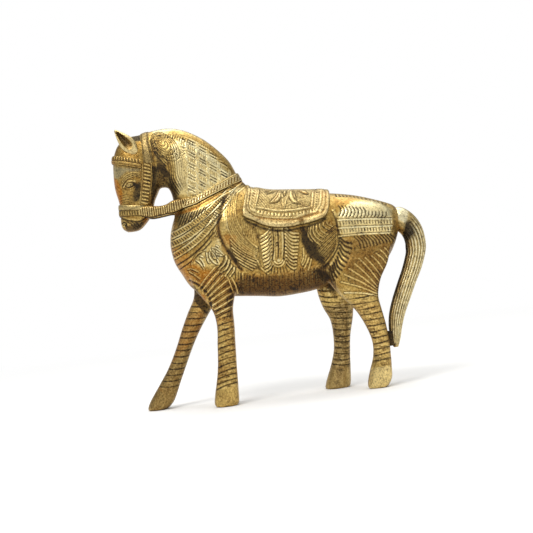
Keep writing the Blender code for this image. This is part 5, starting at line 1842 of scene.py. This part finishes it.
def tail():
    """Tail rings moved out by 0.5 strand^0.6 - 0.35, with strand = 1/2 + cos(20 (angle + twist)) / 2.

    The ridges start below the plain root and end before the tip. Each groove is broken into dashes of its own
    phase. The edge that faces the horse and the root's underside are painted dark as shade, and the root is
    painted pale as a highlight.
    """
    count = 96
    grid = rings(TAIL, 15.0, 10.5, NEAR, fullness=2.0, count=count, steps=14)
    angle = (np.arange(count) * 2 * np.pi / count)[None, :]
    along = np.linspace(0, 1, len(grid))[:, None]
    turn = STRANDS * (angle + 0.5 * along)
    strand = 0.5 + 0.5 * np.cos(turn)
    begun = soft(along, 0.22, 0.32) * (1 - soft(along, 0.96, 1.0))
    outwards = grid - grid.mean(1, keepdims=True)
    outwards /= np.linalg.norm(outwards, axis=-1, keepdims=True)
    grid = grid + outwards * ((0.5 * strand**0.6 - 0.35) * begun)[..., None]
    dashes = soft(np.sin(2 * np.pi * (along * 22 + 3 * np.floor(turn / (2 * np.pi)) * 0.37)), -0.5, 0.3)
    groove = (1 - soft(strand, 0.05, 0.3)) * begun * (0.3 + 0.5 * dashes)
    front = -np.cos(angle)
    # Painted shade: a broad patch below the root on the side that faces the horse, then a dark band down that
    # whole edge.
    inner = soft(front, -0.6, 0.1) * soft(along, 0.17, 0.23) * (1 - soft(along, 0.30, 0.42))
    inner = np.maximum(inner, 0.8 * soft(front, 0.7, 0.95) * soft(along, 0.2, 0.3))
    upper = bell(front + 0.3, 0.09) * soft(along, 0.2, 0.25) * (1 - soft(along, 0.38, 0.5))
    shade = np.clip(np.maximum(np.maximum(groove, 1.1 * inner), 0.9 * upper), 0, 1)
    # A painted highlight that makes the plain root pale, and a little grey.
    knob_highlight = 1.2 * soft(along, 0.05, 0.10) * (1 - soft(along, 0.19, 0.25)) * soft(-front, -0.3, 0.1)
    lean = -0.15 + 0.4 * soft(front, 0.2, 0.8) - 0.1 * knob_highlight
    polish_and_highlight = np.maximum(0.12 + 0.88 * soft(strand, 0.5, 0.85) * begun, knob_highlight)
    return tube("tail", grid, dark=shade, warm=lean, rubbed=polish_and_highlight)


LUG = (
    (70.7, 27.6, 76.4, 27.6, 1, 1), (70.6, 29, 76.5, 29, 1, 1), (70.6, 36.6, 76.5, 36.6, 1, 1),
    (70.7, 38, 76.4, 38, 1, 1),
)
# The lug is dark all over: its solder, and painted shade in the gap between the tail and the leg.
block = rings(LUG, 3.5, 12.25, NEAR, fullness=5.0, count=40, steps=4)
lug = tube("lug", block, (0.85, 0, 0), dark=0.85, warm=0, rubbed=0)
made = tail()
piece("ridged_tail", made, "bright_brass", "tail")
piece("tail_lug", lug, "dark_brass", "tail")
print("tail faces:", len(made.polygons), "lug faces:", len(lug.polygons))

# %% [markdown]
# ## Camera, floor and lights
#
# The camera stands level with the middle of the horse, square to its near side and rolled by seven degrees,
# as the photograph was taken. The floor is a pale plain disc that fades to white far from the horse. The
# world is white at the horizon and as high as the camera sees it. A darker band above that gives the metal
# its contrast, and overhead the world is bright again. Three soft lamps stand round the horse.

# %% Camera
scene = bpy.context.scene
scene.view_settings.view_transform = "Standard"
ROLL = math.radians(7)
CAMERA_AT = (-0.0066, -0.85, 0.0932)
SENSOR, PICTURE, FOCAL_PIXELS = 36.0, 533, 1197
camera = bpy.data.objects.new("camera", bpy.data.cameras.new("camera"))
scene.collection.objects.link(camera)
camera.data.sensor_width = SENSOR
camera.data.lens = SENSOR * FOCAL_PIXELS / PICTURE
camera.data.clip_start, camera.data.clip_end = 0.01, 50.0
right, up = (math.cos(ROLL), 0, -math.sin(ROLL)), (math.sin(ROLL), 0, math.cos(ROLL))
camera.matrix_world = Matrix.Translation(CAMERA_AT) @ Matrix((right, up, (0, -1, 0))).transposed().to_4x4()
scene.camera = camera
print("camera at", CAMERA_AT)

# %% Floor
FLOOR_RADIUS, FLOOR_CORNERS = 8, 64
angles = np.linspace(0, 2 * np.pi, FLOOR_CORNERS, endpoint=False)
rim = FLOOR_RADIUS * np.column_stack([np.cos(angles), np.sin(angles), 0 * angles])
disc = bpy.data.meshes.new("floor")
disc.from_pydata(rim.tolist(), [], [list(range(FLOOR_CORNERS))])
floor = bpy.data.objects.new("floor", disc)
scene.collection.objects.link(floor)
paper = bpy.data.materials.new("paper")
tree = Tree(paper)
place = tree.add("ShaderNodeTexCoord", "Object")
away = tree.add("ShaderNodeVectorMath", "Value", {"operation": "LENGTH"}, Vector=place)
seen = tree.add("ShaderNodeLightPath", "Is Camera Ray")
for kind in ("Is Glossy Ray", "Is Transmission Ray"):
    seen = seen + tree.add("ShaderNodeLightPath", kind)
seen = seen.clamped()
FADE_FROM, FADE_TO = 0.16, 0.85
matt = tree.add("ShaderNodeBsdfDiffuse", Color=(0.86, 0.86, 0.85, 1))
white = tree.add("ShaderNodeEmission", Color=(1, 1, 1, 1), Strength=1.0)
tree.end("ShaderNodeOutputMaterial", tree.blend(away.between(FADE_FROM, FADE_TO) * seen, matt, white))
disc.materials.append(paper)
print("floor radius, metres:", FLOOR_RADIUS)

# %% World
world = bpy.data.worlds.new("studio")
scene.world = world
tree = Tree(world)
direction = tree.add("ShaderNodeTexCoord", "Generated")
climb = tree.add("ShaderNodeSeparateXYZ", "Z", Vector=direction)
BAND, TOP = 0.30, 1.15
level = 1.0 - (1.0 - BAND) * climb.between(0.24, 0.34) + (TOP - BAND) * climb.between(0.45, 0.85)
tree.end("ShaderNodeOutputWorld", tree.add("ShaderNodeBackground", Color=(1, 1, 1, 1), Strength=level))
print("world: horizon 1, band", BAND, "top", TOP)

# %% Lamps
LOOKED_AT = Vector((0, 0, 0.1))


def soft_lamp(name, place, size, watts, colour=(1, 1, 1)):
    """A square area lamp that looks at the middle of the horse."""
    lamp = bpy.data.lights.new(name, "AREA")
    lamp.size, lamp.energy, lamp.color = size, watts, colour
    made = bpy.data.objects.new(name, lamp)
    scene.collection.objects.link(made)
    made.location = place
    made.rotation_euler = (LOOKED_AT - Vector(place)).to_track_quat("-Z", "Y").to_euler()


soft_lamp("key", (-0.35, -0.6, 0.95), 0.5, 6.0, (1, 0.98, 0.95))
soft_lamp("fill", (0.7, -0.9, 0.4), 0.7, 1.2)
soft_lamp("top", (0.1, 0.2, 1), 0.7, 3.0)
print("lamps:", len(bpy.data.lights))
